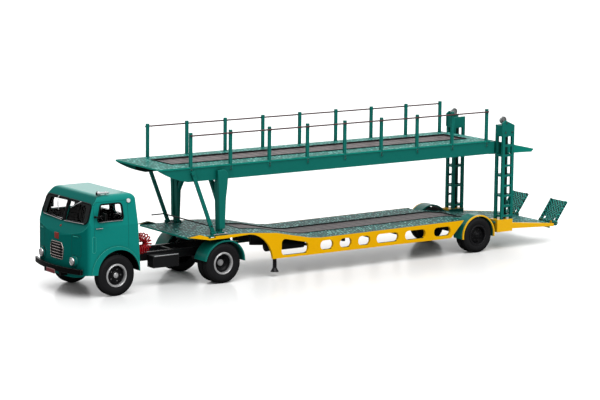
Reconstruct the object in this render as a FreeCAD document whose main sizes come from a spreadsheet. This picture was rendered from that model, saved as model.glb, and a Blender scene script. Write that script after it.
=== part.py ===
"""Car transporter truck, a scale model: cab-over tractor and two-deck semi-trailer.

Millimetres.  +X points to the rear, +Y to the vehicle's right, +Z up, the floor is z = 0 and the
origin is the middle of the model's footprint.
"""
import FreeCAD, Part
import math
import os
import re
import Sketcher
from FreeCAD import Placement, Rotation, Vector

# ---------------------------------------------------------------- driving sizes
# alias, value, what it is
SIZES = [
    ("front_axle_x", -132.25, "front axle"),
    ("drive_axle_x", -70.35, "drive axle"),
    ("kingpin_x", -73.15, "pivot between tractor and trailer"),
    ("trailer_axle_x", 93.0, "trailer axle"),
    ("fit_gap", 0.05, "clearance of pieces that seat in each other"),
    ("run_gap", 0.4, "clearance of pieces that move past each other"),
    # tyres and rims
    ("tyre_rad", 10.2, "tyre radius, tractor"),
    ("tyre_wide", 5.2, "front tyre width"),
    ("rim_rad", 6.3, "rim radius, tractor"),
    ("front_face_y", 23.0, "outer face of the front tyres"),
    ("twin_wide", 4.4, "width of one drive tyre"),
    ("twin_gap", 0.6, "gap between twin tyres"),
    ("drive_face_y", 23.6, "outer face of the drive tyres"),
    ("trailer_tyre_rad", 9.5, "tyre radius, trailer"),
    ("trailer_tyre_wide", 3.6, "width of one trailer tyre"),
    ("trailer_rim_rad", 5.7, "rim radius, trailer"),
    ("trailer_face_y", 24.3, "outer face of the trailer tyres"),
    ("axle_rad", 1.5, "axle tube radius"),
    ("stub_rad", 1.0, "stub axle radius"),
    # cab
    ("cab_half", 23.6, "half width of the cab below the belt"),
    ("roof_half", 21.4, "half width of the cab at the roof"),
    ("cab_low_z", 11.6, "lower edge of the cab"),
    ("shoulder_z", 30.0, "where the front starts to lean back"),
    ("belt_z", 35.0, "foot of the windows"),
    ("glass_top_z", 45.6, "top of the windows"),
    ("roof_z", 50.0, "top of the roof"),
    ("cab_nose_x", -152.65, "front of the cab on the centre line"),
    ("cab_corner_x", -151.0, "front of the cab where its corners begin"),
    ("screen_foot_x", -148.6, "foot of the windscreen"),
    ("screen_top_x", -145.4, "top of the windscreen"),
    ("brow_x", -141.5, "where the roof becomes flat"),
    ("cab_rear_x", -119.2, "foot of the cab's rear wall"),
    ("cab_rear_top_x", -121.4, "top of the cab's rear wall"),
    ("cab_wall", 0.9, "cab wall"),
    ("cab_round", 5.0, "rounding of the cab's front corners"),
    ("roof_round", 3.6, "rounding of the roof's edges"),
    ("arch_rad", 11.7, "opening of the front wheel arch"),
    ("arch_lip", 1.9, "width of the arch lip at its top"),
    ("arch_lip_shift", 1.45, "how far the lip's outer edge lies forward"),
    ("arch_lip_thick", 0.85, "thickness of the lip"),
    ("arch_z", 11.3, "centre height of the wheel arch"),
    ("arch_x", -131.65, "centre of the wheel arch"),
    # tractor chassis
    ("rail_top_z", 17.0, "top of the chassis rails"),
    ("rail_tall", 4.2, "height of the rails"),
    ("rail_wide", 1.6, "width of a rail"),
    ("rail_y", 8.0, "outer face of a rail"),
    ("rail_front_x", -150.5, "front end of the rails"),
    ("rail_rear_x", -55.2, "rear end of the rails"),
    ("arm_seat", 0.35, "how far the fender brackets lie on the rails"),
    ("fender_front", 11.2, "front foot of the drive fenders ahead of the axle"),
    ("fender_foot", 2.1, "that foot above the axle"),
    ("fender_top", 11.7, "top of the drive fenders above the axle"),
    ("fender_rear", 12.8, "rear foot of the drive fenders behind the axle"),
    ("fender_knee", 3.6, "where their rear turns straight down, above the axle"),
    ("fender_skin", 0.7, "sheet of the fenders"),
    ("fender_face_y", 24.0, "outer face of the drive fenders"),
    ("fender_inner_y", 13.6, "inner edge of the drive fenders"),
    ("screen_inner_y", 0.9, "inner edge of a windscreen pane"),
    ("screen_outer_y", 19.6, "outer edge of a windscreen pane"),
    ("screen_low_z", 36.2, "lower edge of the windscreen"),
    ("door_glass_front_x", -143.2, "front of the door window"),
    ("door_glass_rear_x", -128.8, "rear of the door window"),
    ("door_glass_low_z", 37.8, "lower edge of the door window"),
    ("pane_inset", 0.25, "how far the glass lies inside the cab's skin"),
    ("pane_thick", 0.4, "thickness of the glass"),
    ("grille_half", 6.4, "half width of the grille"),
    ("grille_low_z", 17.1, "lower edge of the grille"),
    ("grille_top_z", 26.0, "upper edge of the grille"),
    ("floor_z", 24.4, "cab floor"),
    ("floor_long", 40.0, "length of the cab floor before it is trimmed to the cab"),
    ("driver_y", 12.5, "steering wheel and seats from the middle"),
    ("wheel_back", 9.5, "steering wheel behind the nose"),
    ("wheel_lift", 10.4, "steering wheel above the floor"),
    ("wheel_rad", 3.2, "steering wheel radius"),
    ("wheel_rim_rad", 0.4, "thickness of its rim"),
    ("seat_wide", 11.0, "width of a seat"),
    ("bumper_x", -156.2, "front of the bumper"),
    ("bumper_end_x", -152.2, "ends of the bumper"),
    ("bumper_half", 22.3, "half width of the bumper"),
    ("bumper_low_z", 12.2, "underside of the bumper"),
    ("bumper_tall", 2.6, "height of the bumper"),
    ("bumper_thick", 1.2, "thickness of the bumper"),
    ("plate_y", -4.5, "near end of the blank number plate"),
    ("plate_wide", 7.8, "its width"),
    ("plate_low_z", 10.7, "its lower edge"),
    ("plate_tall", 2.1, "its height"),
    ("plate_thick", 0.4, "its thickness"),
    ("lamp_y", 15.0, "headlights from the middle"),
    ("lamp_z", 18.0, "headlight height"),
    ("lamp_rad", 2.1, "headlight radius"),
    ("lamp_front_x", -153.4, "front of the headlights"),
    ("horn_y", 19.3, "middle of the roof horns"),
    ("horn_x", -142.0, "mouth of the longer horn"),
    ("horn_z", 51.0, "height of the horns"),
    ("horn_apart", 1.9, "distance between the two horns"),
    ("horn_mouth_rad", 0.9, "radius of a horn's mouth"),
    ("horn_tube_rad", 0.4, "radius of a horn's tube"),
    ("horn_bell_long", 3.0, "length of a horn's bell"),
    ("horn_long", 7.1, "length of the longer horn"),
    ("mirror_x", -141.4, "front of a mirror head"),
    ("mirror_thick", 0.9, "thickness of a mirror head"),
    ("mirror_outer_y", 27.6, "outer edge of a mirror head"),
    ("mirror_wide", 3.6, "width of a mirror head"),
    ("mirror_low_z", 38.3, "lower edge of a mirror head"),
    ("mirror_tall", 4.0, "height of a mirror head"),
    ("mirror_arm_x", -145.1, "front of the mirror arms"),
    ("mirror_arm_thick", 0.8, "thickness of the mirror arms"),
    ("steer_y", 16.0, "king pins from the middle"),
    ("steer_rad", 0.7, "king pin radius"),
    ("beam_eye_rad", 1.3, "eye at the ends of the front axle beam"),
    ("beam_eye_tall", 2.0, "height of that eye"),
    ("box_front_x", -105.7, "front of the side boxes"),
    ("box_long", 14.8, "length of a side box"),
    ("box_low_z", 9.7, "underside of the side boxes"),
    ("box_tall", 6.1, "height of a side box"),
    ("box_face_y", 14.0, "outer face of a side box"),
    ("coil_x", -111.7, "centre of the air line's bend"),
    ("coil_y", -13.0, "its distance from the middle"),
    ("coil_z", 22.85, "its height"),
    ("coil_bend", 3.7, "its bend radius"),
    ("coil_rad", 1.2, "outer radius of the coiled line"),
    ("coil_start_x", -119.4, "where it leaves the cab wall"),
    ("stub_end_y", 21.6, "end of the front stub axles"),
    ("drive_inner_y", 13.8, "ends of the drive axle tube"),
    ("case_rad", 3.4, "final-drive case radius"),
    ("bar_pitch", 1.55, "spacing of the grille bars"),
    # trailer side view
    ("neck_front_x", -91.15, "front end of the lower deck"),
    ("neck_front_z", 25.0, "its height"),
    ("neck_flat_x", -61.15, "rear end of the flat neck"),
    ("neck_flat_z", 24.7, "its height"),
    ("neck_bend_x", -55.15, "start of the slope"),
    ("neck_bend_z", 24.4, "its height"),
    ("slope_top_x", -38.55, "upper slope"),
    ("slope_top_z", 22.9, "its height"),
    ("slope_mid_x", -29.25, "middle of the slope"),
    ("slope_mid_z", 20.9, "its height"),
    ("slope_low_x", -18.45, "foot of the slope"),
    ("slope_low_z", 18.7, "its height"),
    ("floor_front_x", -11.25, "front of the low floor"),
    ("floor_front_z", 18.0, "its height"),
    ("floor_rear_x", 82.85, "rear of the low floor"),
    ("floor_rear_z", 18.6, "its height"),
    ("tail_knee_x", 116.85, "behind the towers"),
    ("tail_knee_z", 14.3, "its height"),
    ("tail_end_x", 146.4, "rear end of the tail"),
    ("tail_end_z", 11.3, "its height"),
    ("deck_plate", 0.8, "deck plate"),
    ("deck_half", 24.5, "half width over the side frames"),
    ("frame_plate", 1.6, "thickness of a side frame"),
    ("frame_low_z", 9.7, "lower edge of the side frames"),
    ("neck_low_z", 22.9, "underside of the neck"),
    ("neck_arc_rad", 15.3, "arc under the gooseneck"),
    ("frame_foot_x", -40.95, "front end of the frame's lower edge"),
    ("frame_heel_x", 74.25, "rear end of the frame's lower edge"),
    ("slot_half", 8.8, "half width of the lower mesh slot"),
    ("mesh_front_x", -51.0, "front end of the lower mesh"),
    ("mesh_rear_x", 94.0, "rear end of the lower mesh"),
    ("mesh_plate", 0.5, "thickness of the mesh"),
    ("mesh_drop", 0.3, "how far the mesh lies below the plate"),
    # side frame details
    ("seat_front_x", -80.15, "front of the portal's seat on the side frames"),
    ("seat_rear_x", -75.7, "rear of that seat"),
    ("seat_drop", 0.9, "depth of that seat"),
    ("neck_arc_mid_x", -45.45, "middle of the arc under the neck"),
    ("neck_arc_mid_z", 19.2, "its height"),
    ("hole_low_z", 11.5, "lower edge of the lightening holes"),
    ("hole_top_z", 16.3, "upper edge of the lightening holes"),
    ("hole_round", 2.2, "rounding of the lightening holes"),
    ("first_hole_x", -35.75, "front of the large hole"),
    ("first_hole_long", 16.7, "its length"),
    ("first_hole_rise", 3.6, "how much higher its front is"),
    # wheel bays and tail
    ("bay_rad", 11.6, "half length of the trailer wheel bays"),
    ("fender_bay_y", 16.0, "inner edge of the trailer wheel bays"),
    ("tail_front_x", 106.1, "front of the tower boxes"),
    ("tail_box_rear_x", 116.7, "rear of the tower boxes"),
    ("tower_bay_y", 17.6, "inner edge of the tower boxes"),
    ("tail_low_z", 9.9, "underside of the tower boxes"),
    ("tail_beam_tall", 3.1, "height of the tail beams"),
    ("tail_tip_tall", 1.6, "height of the tail beams at the rear end"),
    ("lip_front_x", 136.8, "front of the wedge under the tail's end"),
    ("lip_low_z", 8.5, "its lower edge"),
    ("tail_beam_wide", 1.6, "width of a tail beam"),
    ("band_rad", 11.0, "outer radius of the trailer fenders"),
    ("band_thick", 0.7, "thickness of the yellow fender band"),
    ("band_wide", 0.8, "width of the yellow fender band"),
    ("trailer_fender_inner_y", 16.4, "inner edge of the trailer fenders"),
    # under the lower deck
    ("cross_low_z", 14.4, "underside of the cross members"),
    ("cross_tall", 2.4, "height of the cross members"),
    ("cross_wide", 1.4, "width of the cross members"),
    ("runner_y", 10.5, "inner face of the runners"),
    ("neck_runner_y", 7.0, "inner face of the runners under the neck"),
    ("neck_runner_x", -44.0, "front end of the runners under the neck"),
    ("neck_runner_low_z", 13.3, "their lowest edge"),
    ("plate_top_z", 21.9, "top of the fifth wheel"),
    ("kingpin_rad", 1.2, "kingpin radius"),
    ("tank_x", -37.2, "front end of the air tank"),
    ("tank_y", 12.0, "centre line of the air tank"),
    ("tank_z", 13.9, "its height"),
    ("tank_rad", 2.6, "its radius"),
    ("tank_long", 23.0, "its length"),
    ("leg_x", -37.9, "landing legs"),
    ("leg_inset", 3.1, "their centre line from the side faces"),
    ("leg_rad", 1.0, "leg tube radius"),
    ("foot_rad", 2.2, "leg foot radius"),
    ("leg_foot_z", 2.5, "height of the parked feet"),
    ("leg_top_z", 20.0, "top of the legs"),
    ("spring_y", 13.6, "trailer leaf packs"),
    ("spring_long", 17.6, "their length"),
    ("hanger_top_z", 15.2, "top of the spring hangers"),
    ("trailer_hub_y", 16.2, "ends of the trailer axle tube"),
    ("band_shift", 0.4, "centre of the trailer fenders behind the axle"),
    ("band_low", 1.4, "how far the trailer fenders reach below the axle"),
    # towers
    ("tower_front_x", 108.8, "front face of the towers"),
    ("tower_deep", 7.8, "depth of a tower, along the model"),
    ("tower_wide", 6.7, "width of a tower, across the model"),
    ("tower_foot_z", 16.6, "foot of the lattice"),
    ("tower_top_z", 62.3, "top of the lattice"),
    ("tower_post", 1.5, "corner posts of the lattice"),
    ("rung_tall", 1.1, "height of a rung"),
    ("rung_pitch", 5.475, "spacing of the rungs"),
    ("rung_first_z", 18.5, "lowest rung"),
    ("cap_shoulder_z", 67.8, "top of the tower head at its rear"),
    ("cap_peak_z", 70.6, "top of the tower head at its front"),
    ("pulley_rad", 2.1, "pulley radius"),
    ("pulley_back", 2.3, "pulley behind the tower's front face"),
    ("pulley_wide", 1.3, "width of a pulley"),
    ("pulley_z", 70.4, "pulley centre height"),
    ("rung_thick", 0.8, "thickness of the rungs"),
    # upper deck
    ("upper_z", 60.0, "top of the upper deck"),
    ("upper_half", 21.0, "half width of the upper deck"),
    ("upper_front_x", -107.0, "front edge of the upper deck"),
    ("upper_rear_x", 102.85, "rear end of the flat upper deck"),
    ("flap_rear_x", 137.2, "rear end of the upper tail flap"),
    ("flap_drop", 7.5, "how far the flap falls"),
    ("flap_half", 16.4, "half width of the flap"),
    ("flange_thick", 0.8, "thickness of the flap's side flanges"),
    ("flange_low", 8.4, "lower edge of the flanges under the upper deck, at the front"),
    ("flange_end", 1.4, "how far the flanges' lower edge stops short of the flap's end"),
    ("upper_slot_half", 9.8, "half width of the upper mesh slot"),
    ("upper_mesh_front_x", -92.45, "front end of the upper mesh"),
    ("upper_mesh_rear_x", 95.0, "rear end of the upper mesh"),
    ("beam_low_z", 52.5, "underside of the upper side beams"),
    ("beam_wide", 1.6, "width of an upper side beam"),
    ("beam_face_y", 20.6, "outer face of an upper side beam"),
    ("beam_front_x", -106.2, "front tip of the side beams"),
    ("beam_full_x", -90.0, "where the side beams reach full height"),
    ("post_first_x", -88.15, "first rail post"),
    ("post_pitch", 23.575, "spacing of the posts"),
    ("post_count", 9, "posts on each side"),
    ("post_thick", 1.4, "thickness of a post"),
    ("post_y", 20.2, "centre line of the posts"),
    ("post_top_z", 77.0, "top of the posts"),
    ("wire_rad", 0.35, "rail wire radius"),
    ("wire_drop", 1.5, "rail wire below the post tops"),
    # portal
    ("portal_x", -70.9, "centre of the portal columns"),
    ("portal_y", 20.1, "centre of a portal column"),
    ("portal_head", 3.0, "column depth at its head"),
    ("portal_foot", 1.4, "column depth at its foot"),
    ("portal_wide", 4.8, "column width"),
    ("strut_thick", 2.0, "strut thickness"),
    ("strut_head_x", -87.65, "head of the struts"),
    ("strut_head_z", 57.4, "its height"),
    ("strut_foot_x", -75.3, "foot of the struts"),
    ("strut_foot_z", 25.9, "its height"),
    ("beam_sweep_x", -98.0, "middle of the side beams' upswept front"),
    ("beam_sweep_z", 54.8, "its height"),
    ("knee_low_z", 43.4, "where the knee braces leave the columns"),
    ("knee_reach_y", 9.5, "where the knee braces meet the cross member"),
    ("column_top_z", 56.6, "top of the columns beside the side beams"),
    ("shaft_z", 29.4, "height of the winch shaft"),
    ("shaft_x", -76.7, "winch shaft"),
    ("shaft_rad", 0.35, "radius of the winch shaft"),
    ("crank_long", 7.3, "length of its crank"),
    # tail and ramps
    ("hinge_x", 148.3, "ramp hinge"),
    ("hinge_z", 11.2, "its height"),
    ("hinge_rad", 0.7, "ramp hinge rod"),
    ("lug_wide", 1.2, "width of the hinge lugs"),
    ("lug_inset", 1.6, "hinge lugs from the edges of a ramp"),
    ("lug_swing", 3.0, "radius of the ramps' notches round the lugs"),
    ("ramp_long", 13.66, "length of a ramp"),
    ("ramp_wide", 12.9, "width of a ramp"),
    ("ramp_plate", 0.8, "ramp plate"),
    ("ramp_inset", 0.66, "outer edge of the left ramp from the side face"),
    ("ramp_inset_right", 2.5, "outer edge of the right ramp from the side face"),
    ("ramp_lean", 36.0, "lean of the parked ramps, degrees from upright"),
]

doc = FreeCAD.newDocument("transporter")
sheet = doc.addObject("Spreadsheet::Sheet", "sizes")
for row, (alias, amount, note) in enumerate(SIZES, start=1):
    sheet.set(f"A{row}", note)
    sheet.set(f"B{row}", str(amount))
    sheet.setAlias(f"B{row}", alias)
doc.recompute()
ALIASES = {alias for alias, amount, note in SIZES}


# ---------------------------------------------------------------- ways of working
def bound(text):
    """The expression with each size named as its cell."""
    return re.sub(r"[a-z_]+", lambda word: "sizes." + word[0], str(text))


def size(name):
    """A size from the sheet as a plain number."""
    return float(sheet.get(name))


def amount_of(text):
    """What an expression of sizes, numbers, + - * / and brackets comes to."""
    words = re.findall(r"[a-z_]+|[0-9.]+|[-+*/()]", str(text))

    def factor():
        word = words.pop(0)
        if word == "-":
            return -factor()
        if word == "(":
            total = terms()
            words.pop(0)
            return total
        return size(word) if word in ALIASES else float(word)

    def product():
        total = factor()
        while words and words[0] in "*/":
            total = total * factor() if words.pop(0) == "*" else total / factor()
        return total

    def terms():
        total = product()
        while words and words[0] in "+-":
            total = total + product() if words.pop(0) == "+" else total - product()
        return total

    return terms()


def bind(thing, **properties):
    for name, text in properties.items():
        thing.setExpression(name.replace("_", "."), bound(text))
    return thing


def seat(thing, x=0, y=0, z=0):
    """Bind the place of a document object."""
    return bind(thing, Placement_Base_x=x, Placement_Base_y=y, Placement_Base_z=z)


def box(name, x, y, z, dx, dy, dz):
    """A block from its lowest corner and its three lengths."""
    block = doc.addObject("Part::Box", name)
    bind(block, Length=dx, Width=dy, Height=dz)
    return seat(block, x, y, z)


def rod(name, axis, x, y, z, radius, length, sweep=360):
    """A cylinder along X, Y or Z from the centre of its first face."""
    turn = {"X": Rotation(Vector(0, 1, 0), 90), "Y": Rotation(Vector(1, 0, 0), -90),
            "Z": Rotation()}[axis]
    cylinder = doc.addObject("Part::Cylinder", name)
    cylinder.Placement = Placement(Vector(), turn)
    cylinder.Angle = sweep
    bind(cylinder, Radius=radius, Height=length)
    return seat(cylinder, x, y, z)


def cut(name, base, tool):
    result = doc.addObject("Part::Cut", name)
    result.Base, result.Tool = base, tool
    return result


def common(name, first, second):
    result = doc.addObject("Part::Common", name)
    result.Base, result.Tool = first, second
    return result


def fuse(name, pieces):
    result = doc.addObject("Part::MultiFuse", name)
    result.Shapes = pieces
    return result


def together(name, pieces):
    """Like pieces that share a node and don't touch."""
    result = doc.addObject("Part::Compound", name)
    result.Links = pieces
    return result


def mirrored(name, thing):
    """The same piece on the other side of the vehicle."""
    result = doc.addObject("Part::Mirroring", name)
    result.Source = thing
    result.Normal = Vector(0, 1, 0)
    return result


def both_sides(name, thing):
    return together(name, [thing, mirrored(name + "_far", thing)])


def corner_points(corners):
    """Corners as numbers: point, rounding radius and what bows the stretch after it."""
    points = []
    for corner in corners:
        if corner[0] == "via":
            points[-1]["via"] = Vector(amount_of(corner[1]), amount_of(corner[2]), 0)
            points[-1]["via_text"] = corner[1:]
            continue
        points.append({"at": Vector(amount_of(corner[0]), amount_of(corner[1]), 0),
                       "text": corner[:2],
                       "round": corner[2] if len(corner) > 2 else None})
    return points


def tangent_points(points, index):
    """Where a rounding leaves the two stretches at a corner."""
    here = points[index]["at"]
    before = (points[index - 1]["at"] - here).normalize()
    after = (points[(index + 1) % len(points)]["at"] - here).normalize()
    half_angle = before.getAngle(after) / 2
    reach = amount_of(points[index]["round"]) / math.tan(half_angle)
    return here + before * reach, here + after * reach, before, after, half_angle


def arc_between(start, end, centre):
    """An arc as the sketcher keeps it, anticlockwise, and its ends' numbers."""
    def turn_of(point):
        return math.atan2(point.y - centre.y, point.x - centre.x)
    first, second = turn_of(start), turn_of(end)
    span = (second - first) % (2 * math.pi)
    circle = Part.Circle(centre, Vector(0, 0, 1), (start - centre).Length)
    if span < math.pi:
        return Part.ArcOfCircle(circle, first, first + span), 1, 2
    return Part.ArcOfCircle(circle, second, second + 2 * math.pi - span), 2, 1


def sketch_outline(body, name, plane, corners, offset=0):
    """A closed outline on one of the body's planes, every corner bound to the sheet."""
    sketch = body.newObject("Sketcher::SketchObject", name)
    origin = [item for item in body.Origin.OriginFeatures if item.Role == plane + "_Plane"][0]
    sketch.AttachmentSupport = [(origin, "")]
    sketch.MapMode = "FlatFace"
    sketch.setExpression("AttachmentOffset.Base.z", bound(offset))
    add_outline(sketch, corners)
    return sketch


def pin_point(sketch, geometry, place, texts):
    for kind, text in zip(("DistanceX", "DistanceY"), texts):
        number = sketch.addConstraint(
            Sketcher.Constraint(kind, -1, 1, geometry, place, amount_of(text)))
        sketch.setExpression(f"Constraints[{number}]", bound(text))


def add_outline(sketch, corners):
    points = corner_points(corners)
    count = len(points)
    leave, enter = [None] * count, [None] * count
    arcs = {}
    for index, point in enumerate(points):
        leave[index] = enter[index] = point["at"]
        if point["round"] is not None:
            first, second, before, after, half = tangent_points(points, index)
            enter[index], leave[index] = first, second
            centre = point["at"] + (before + after).normalize() * (
                amount_of(point["round"]) / math.sin(half))
            arcs[index] = arc_between(first, second, centre)
    stretches = []
    for index, point in enumerate(points):
        after = (index + 1) % count
        if "via" in point:
            bow = Part.Arc(leave[index], point["via"], enter[after]).toShape().Curve
            shape, start, end = arc_between(leave[index], enter[after], bow.Center)
            number = sketch.addGeometry(shape, False)
            stretches.append((number, start, end))
            helper = sketch.addGeometry(Part.Point(point["via"]), True)
            sketch.addConstraint(Sketcher.Constraint("PointOnObject", helper, 1, number))
            pin_point(sketch, helper, 1, point["via_text"])
        else:
            number = sketch.addGeometry(Part.LineSegment(leave[index], enter[after]), False)
            stretches.append((number, 1, 2))
    for index, point in enumerate(points):
        before, here = stretches[index - 1], stretches[index]
        if index in arcs:
            shape, start, end = arcs[index]
            rounding = sketch.addGeometry(shape, False)
            sketch.addConstraint(Sketcher.Constraint("Tangent", before[0], before[2], rounding, start))
            sketch.addConstraint(Sketcher.Constraint("Tangent", rounding, end, here[0], here[1]))
            number = sketch.addConstraint(
                Sketcher.Constraint("Radius", rounding, amount_of(point["round"])))
            sketch.setExpression(f"Constraints[{number}]", bound(point["round"]))
            helper = sketch.addGeometry(Part.Point(point["at"]), True)
            sketch.addConstraint(Sketcher.Constraint("PointOnObject", helper, 1, before[0]))
            sketch.addConstraint(Sketcher.Constraint("PointOnObject", helper, 1, here[0]))
            pin_point(sketch, helper, 1, point["text"])
        else:
            sketch.addConstraint(
                Sketcher.Constraint("Coincident", before[0], before[2], here[0], here[1]))
            pin_point(sketch, here[0], here[1], point["text"])


def slab(name, plane, corners, middle, thick):
    """A body that is one padded outline, its middle at a distance along the plane's axis.

    Planes: XY pads along +Z, XZ along Y and YZ along X.
    """
    body = doc.addObject("PartDesign::Body", name)
    offset = f"-1 * ( {middle} )" if plane == "XZ" else middle
    sketch = sketch_outline(body, name + "_outline", plane, corners, offset)
    pad = body.newObject("PartDesign::Pad", name + "_pad")
    pad.Profile = sketch
    pad.Midplane = True
    bind(pad, Length=thick)
    body.Tip = pad
    return body


def turned(name, corners, x=0, y=0, z=0):
    """A body turned about an axis along Y, from its outline in Y and radius."""
    body = doc.addObject("PartDesign::Body", name)
    sketch = sketch_outline(body, name + "_outline", "YZ", corners)
    turn = body.newObject("PartDesign::Revolution", name + "_turn")
    turn.Profile = sketch
    axis = [item for item in body.Origin.OriginFeatures if item.Role == "Y_Axis"][0]
    turn.ReferenceAxis = (axis, [""])
    turn.Angle = 360
    body.Tip = turn
    return seat(body, x, y, z)


nodes = []


def node(thing, label):
    """Name a finished sub-part and keep it for export."""
    thing.Label = label
    nodes.append(thing)
    return thing


# ---------------------------------------------------------------- trailer: lower deck
# lightening holes behind the large one; columns: front, length
HOLES = [(-11.45, 8.2), (0.85, 7.5), (12.65, 7.8), (24.65, 14.3), (43.35, 13.6), (62.65, 11.2)]
CROSS_MEMBERS = ["-13.6", "4.0", "22.0", "40.0", "59.0", "76.0"]
RUNGS = 9
GRILLE_BARS = 5
TRACTOR_CROSS_MEMBERS = ["-149.5", "-112.0", "-90.0", "-58.0"]
UPPER_CROSS_MEMBERS = 9
# the deck's side view; columns: station along the model, its height on the deck's top face
DECK_LINE = [
    ("neck_front_x", "neck_front_z"),
    ("neck_flat_x", "neck_flat_z"),
    ("neck_bend_x", "neck_bend_z"),
    ("slope_top_x", "slope_top_z"),
    ("slope_mid_x", "slope_mid_z"),
    ("slope_low_x", "slope_low_z"),
    ("floor_front_x", "floor_front_z"),
    ("floor_rear_x", "floor_rear_z"),
    ("tail_knee_x", "tail_knee_z"),
    ("tail_end_x", "tail_end_z"),
]


def lower_deck():
    """One folded plate, with the mesh slot, wheel boxes and tower feet cut out of it."""
    under = [(x, f"{z} - deck_plate") for x, z in reversed(DECK_LINE)]
    sheet_metal = slab("deck_sheet", "XZ", DECK_LINE + under, 0,
                       "2 * ( deck_half - frame_plate - fit_gap )")
    slot = box("deck_slot", "mesh_front_x", "-slot_half", "frame_low_z",
               "mesh_rear_x - mesh_front_x", "2 * slot_half", "neck_front_z")
    openings = [slot]
    for side, start in (("left", "-deck_half"), ("right", "fender_bay_y")):
        openings.append(box("deck_wheel_" + side, "trailer_axle_x + band_shift - bay_rad", start, "frame_low_z",
                            "2 * bay_rad", "deck_half - fender_bay_y", "neck_front_z"))
        start = "-deck_half" if side == "left" else "tower_bay_y"
        openings.append(box("deck_tower_" + side, "tail_front_x - fit_gap", start, "-10",
                            "tail_box_rear_x - tail_front_x + 2 * fit_gap",
                            "deck_half - tower_bay_y", "neck_front_z + 20"))
    lip = slab("deck_lip", "XZ", [
        ("lip_front_x", "tail_end_z"), ("tail_end_x - 1.4", "lip_low_z"),
        ("tail_end_x - 1.4", "tail_end_z - deck_plate / 2"), ("lip_front_x + 1", "tail_end_z + deck_plate / 2")],
        0, "2 * ( deck_half - tail_beam_wide - fit_gap )")
    cut_sheet = cut("deck_cut_sheet", sheet_metal, fuse("deck_openings", openings))
    node(fuse("deck_body", [cut_sheet, lip]), "lower_deck")


def side_frame():
    """A yellow plate: bulged front, column seat, gooseneck arc, long lightening holes."""
    outline = [
        ("neck_front_x + 11.75", "neck_low_z + 0.1"),
        ("neck_front_x - 0.65", "neck_front_z + 0.25"),
        ("neck_front_x + 5.75", "neck_front_z + 1.2", 3),
        ("seat_front_x", "neck_front_z - 0.4"),
        ("seat_front_x", "neck_flat_z - seat_drop"),
        ("seat_rear_x", "neck_flat_z - seat_drop"),
        ("seat_rear_x", "neck_flat_z"),
    ] + DECK_LINE[1:8] + [
        ("frame_heel_x", "frame_low_z"),
        ("frame_foot_x", "frame_low_z"),
        ("via", "neck_arc_mid_x", "neck_arc_mid_z"),
        ("frame_foot_x - neck_arc_rad", "neck_low_z + 0.8"),
        ("frame_foot_x - neck_arc_rad - 12", "neck_low_z + 0.15"),
    ]
    plate = slab("frame_plate_left", "XZ", outline, "-1 * ( deck_half - frame_plate / 2 )",
                 "frame_plate")
    first = [("first_hole_x", "hole_low_z - 0.5", "hole_round"),
             ("first_hole_x + first_hole_long", "hole_low_z - 0.5", "hole_round"),
             ("first_hole_x + first_hole_long", "hole_top_z", "hole_round"),
             ("first_hole_x", "hole_top_z + first_hole_rise", "hole_round")]
    outlines = [first]
    for start, length in HOLES:
        outlines.append([(start, "hole_low_z", "hole_round"),
                         (f"{start} + {length}", "hole_low_z", "hole_round"),
                         (f"{start} + {length}", "hole_top_z", "hole_round"),
                         (start, "hole_top_z", "hole_round")])
    for number, corners in enumerate(outlines, start=1):
        sketch = sketch_outline(plate, f"hole_{number}_outline", "XZ", corners,
                                "deck_half - frame_plate / 2")
        pocket = plate.newObject("PartDesign::Pocket", f"hole_{number}")
        pocket.Profile = sketch
        pocket.Midplane = True
        pocket.Type = "ThroughAll"
        plate.Tip = pocket
    node(both_sides("frames", plate), "side_frames")


def deck_mesh():
    """Two flat mesh strips, one let into each deck."""
    strips = []
    low = DECK_LINE[2:9]
    clip = box("low_mesh_reach", "mesh_front_x + fit_gap", "-slot_half + fit_gap", 0,
               "mesh_rear_x - mesh_front_x - 2 * fit_gap", "2 * ( slot_half - fit_gap )", 40)
    top = [(x, f"{z} - mesh_drop") for x, z in low]
    under = [(x, f"{z} - mesh_drop - mesh_plate") for x, z in reversed(low)]
    strips.append(common("low_mesh", slab("low_mesh_sheet", "XZ", top + under, 0,
                                          "2 * deck_half"), clip))
    strips.append(box("high_mesh", "upper_mesh_front_x + fit_gap", "-upper_slot_half + fit_gap",
                      "upper_z - mesh_drop - mesh_plate",
                      "upper_mesh_rear_x - upper_mesh_front_x - 2 * fit_gap",
                      "2 * ( upper_slot_half - fit_gap )", "mesh_plate"))
    node(together("mesh_strips", strips), "deck_mesh")


def underframe():
    """Cross members and two runners under the low floor."""
    pieces = []
    inner = "deck_half - frame_plate - fit_gap"
    for number, place in enumerate(CROSS_MEMBERS, start=1):
        pieces.append(box(f"cross_member_{number}", place, f"-1 * ( {inner} )", "cross_low_z",
                          "cross_wide", f"2 * ( {inner} )", "cross_tall"))
    for side, sign, y in (("left", "-1 * ", "-runner_y - cross_wide"), ("right", "", "runner_y")):
        pieces.append(box("runner_" + side, CROSS_MEMBERS[0], y, "cross_low_z",
                          f"{CROSS_MEMBERS[-1]} - ( {CROSS_MEMBERS[0]} ) + cross_wide",
                          "cross_wide", "cross_tall"))
        pieces.append(slab("neck_runner_" + side, "XZ", [
            (CROSS_MEMBERS[0], "cross_low_z"), ("slope_mid_x", "neck_runner_low_z"),
            ("neck_runner_x", "neck_runner_low_z + 1.4"),
            ("neck_runner_x", "slope_top_z - deck_plate - 0.1"),
            ("slope_top_x", "slope_top_z - deck_plate - 0.3"),
            ("slope_mid_x", "slope_mid_z - deck_plate - 0.3"),
            ("slope_low_x", "slope_low_z - deck_plate - 0.3"),
            (CROSS_MEMBERS[0], "cross_low_z + cross_tall")],
            f"{sign}( neck_runner_y + cross_wide / 2 )", "cross_wide"))
    node(fuse("underframe_body", pieces), "underframe")


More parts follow.
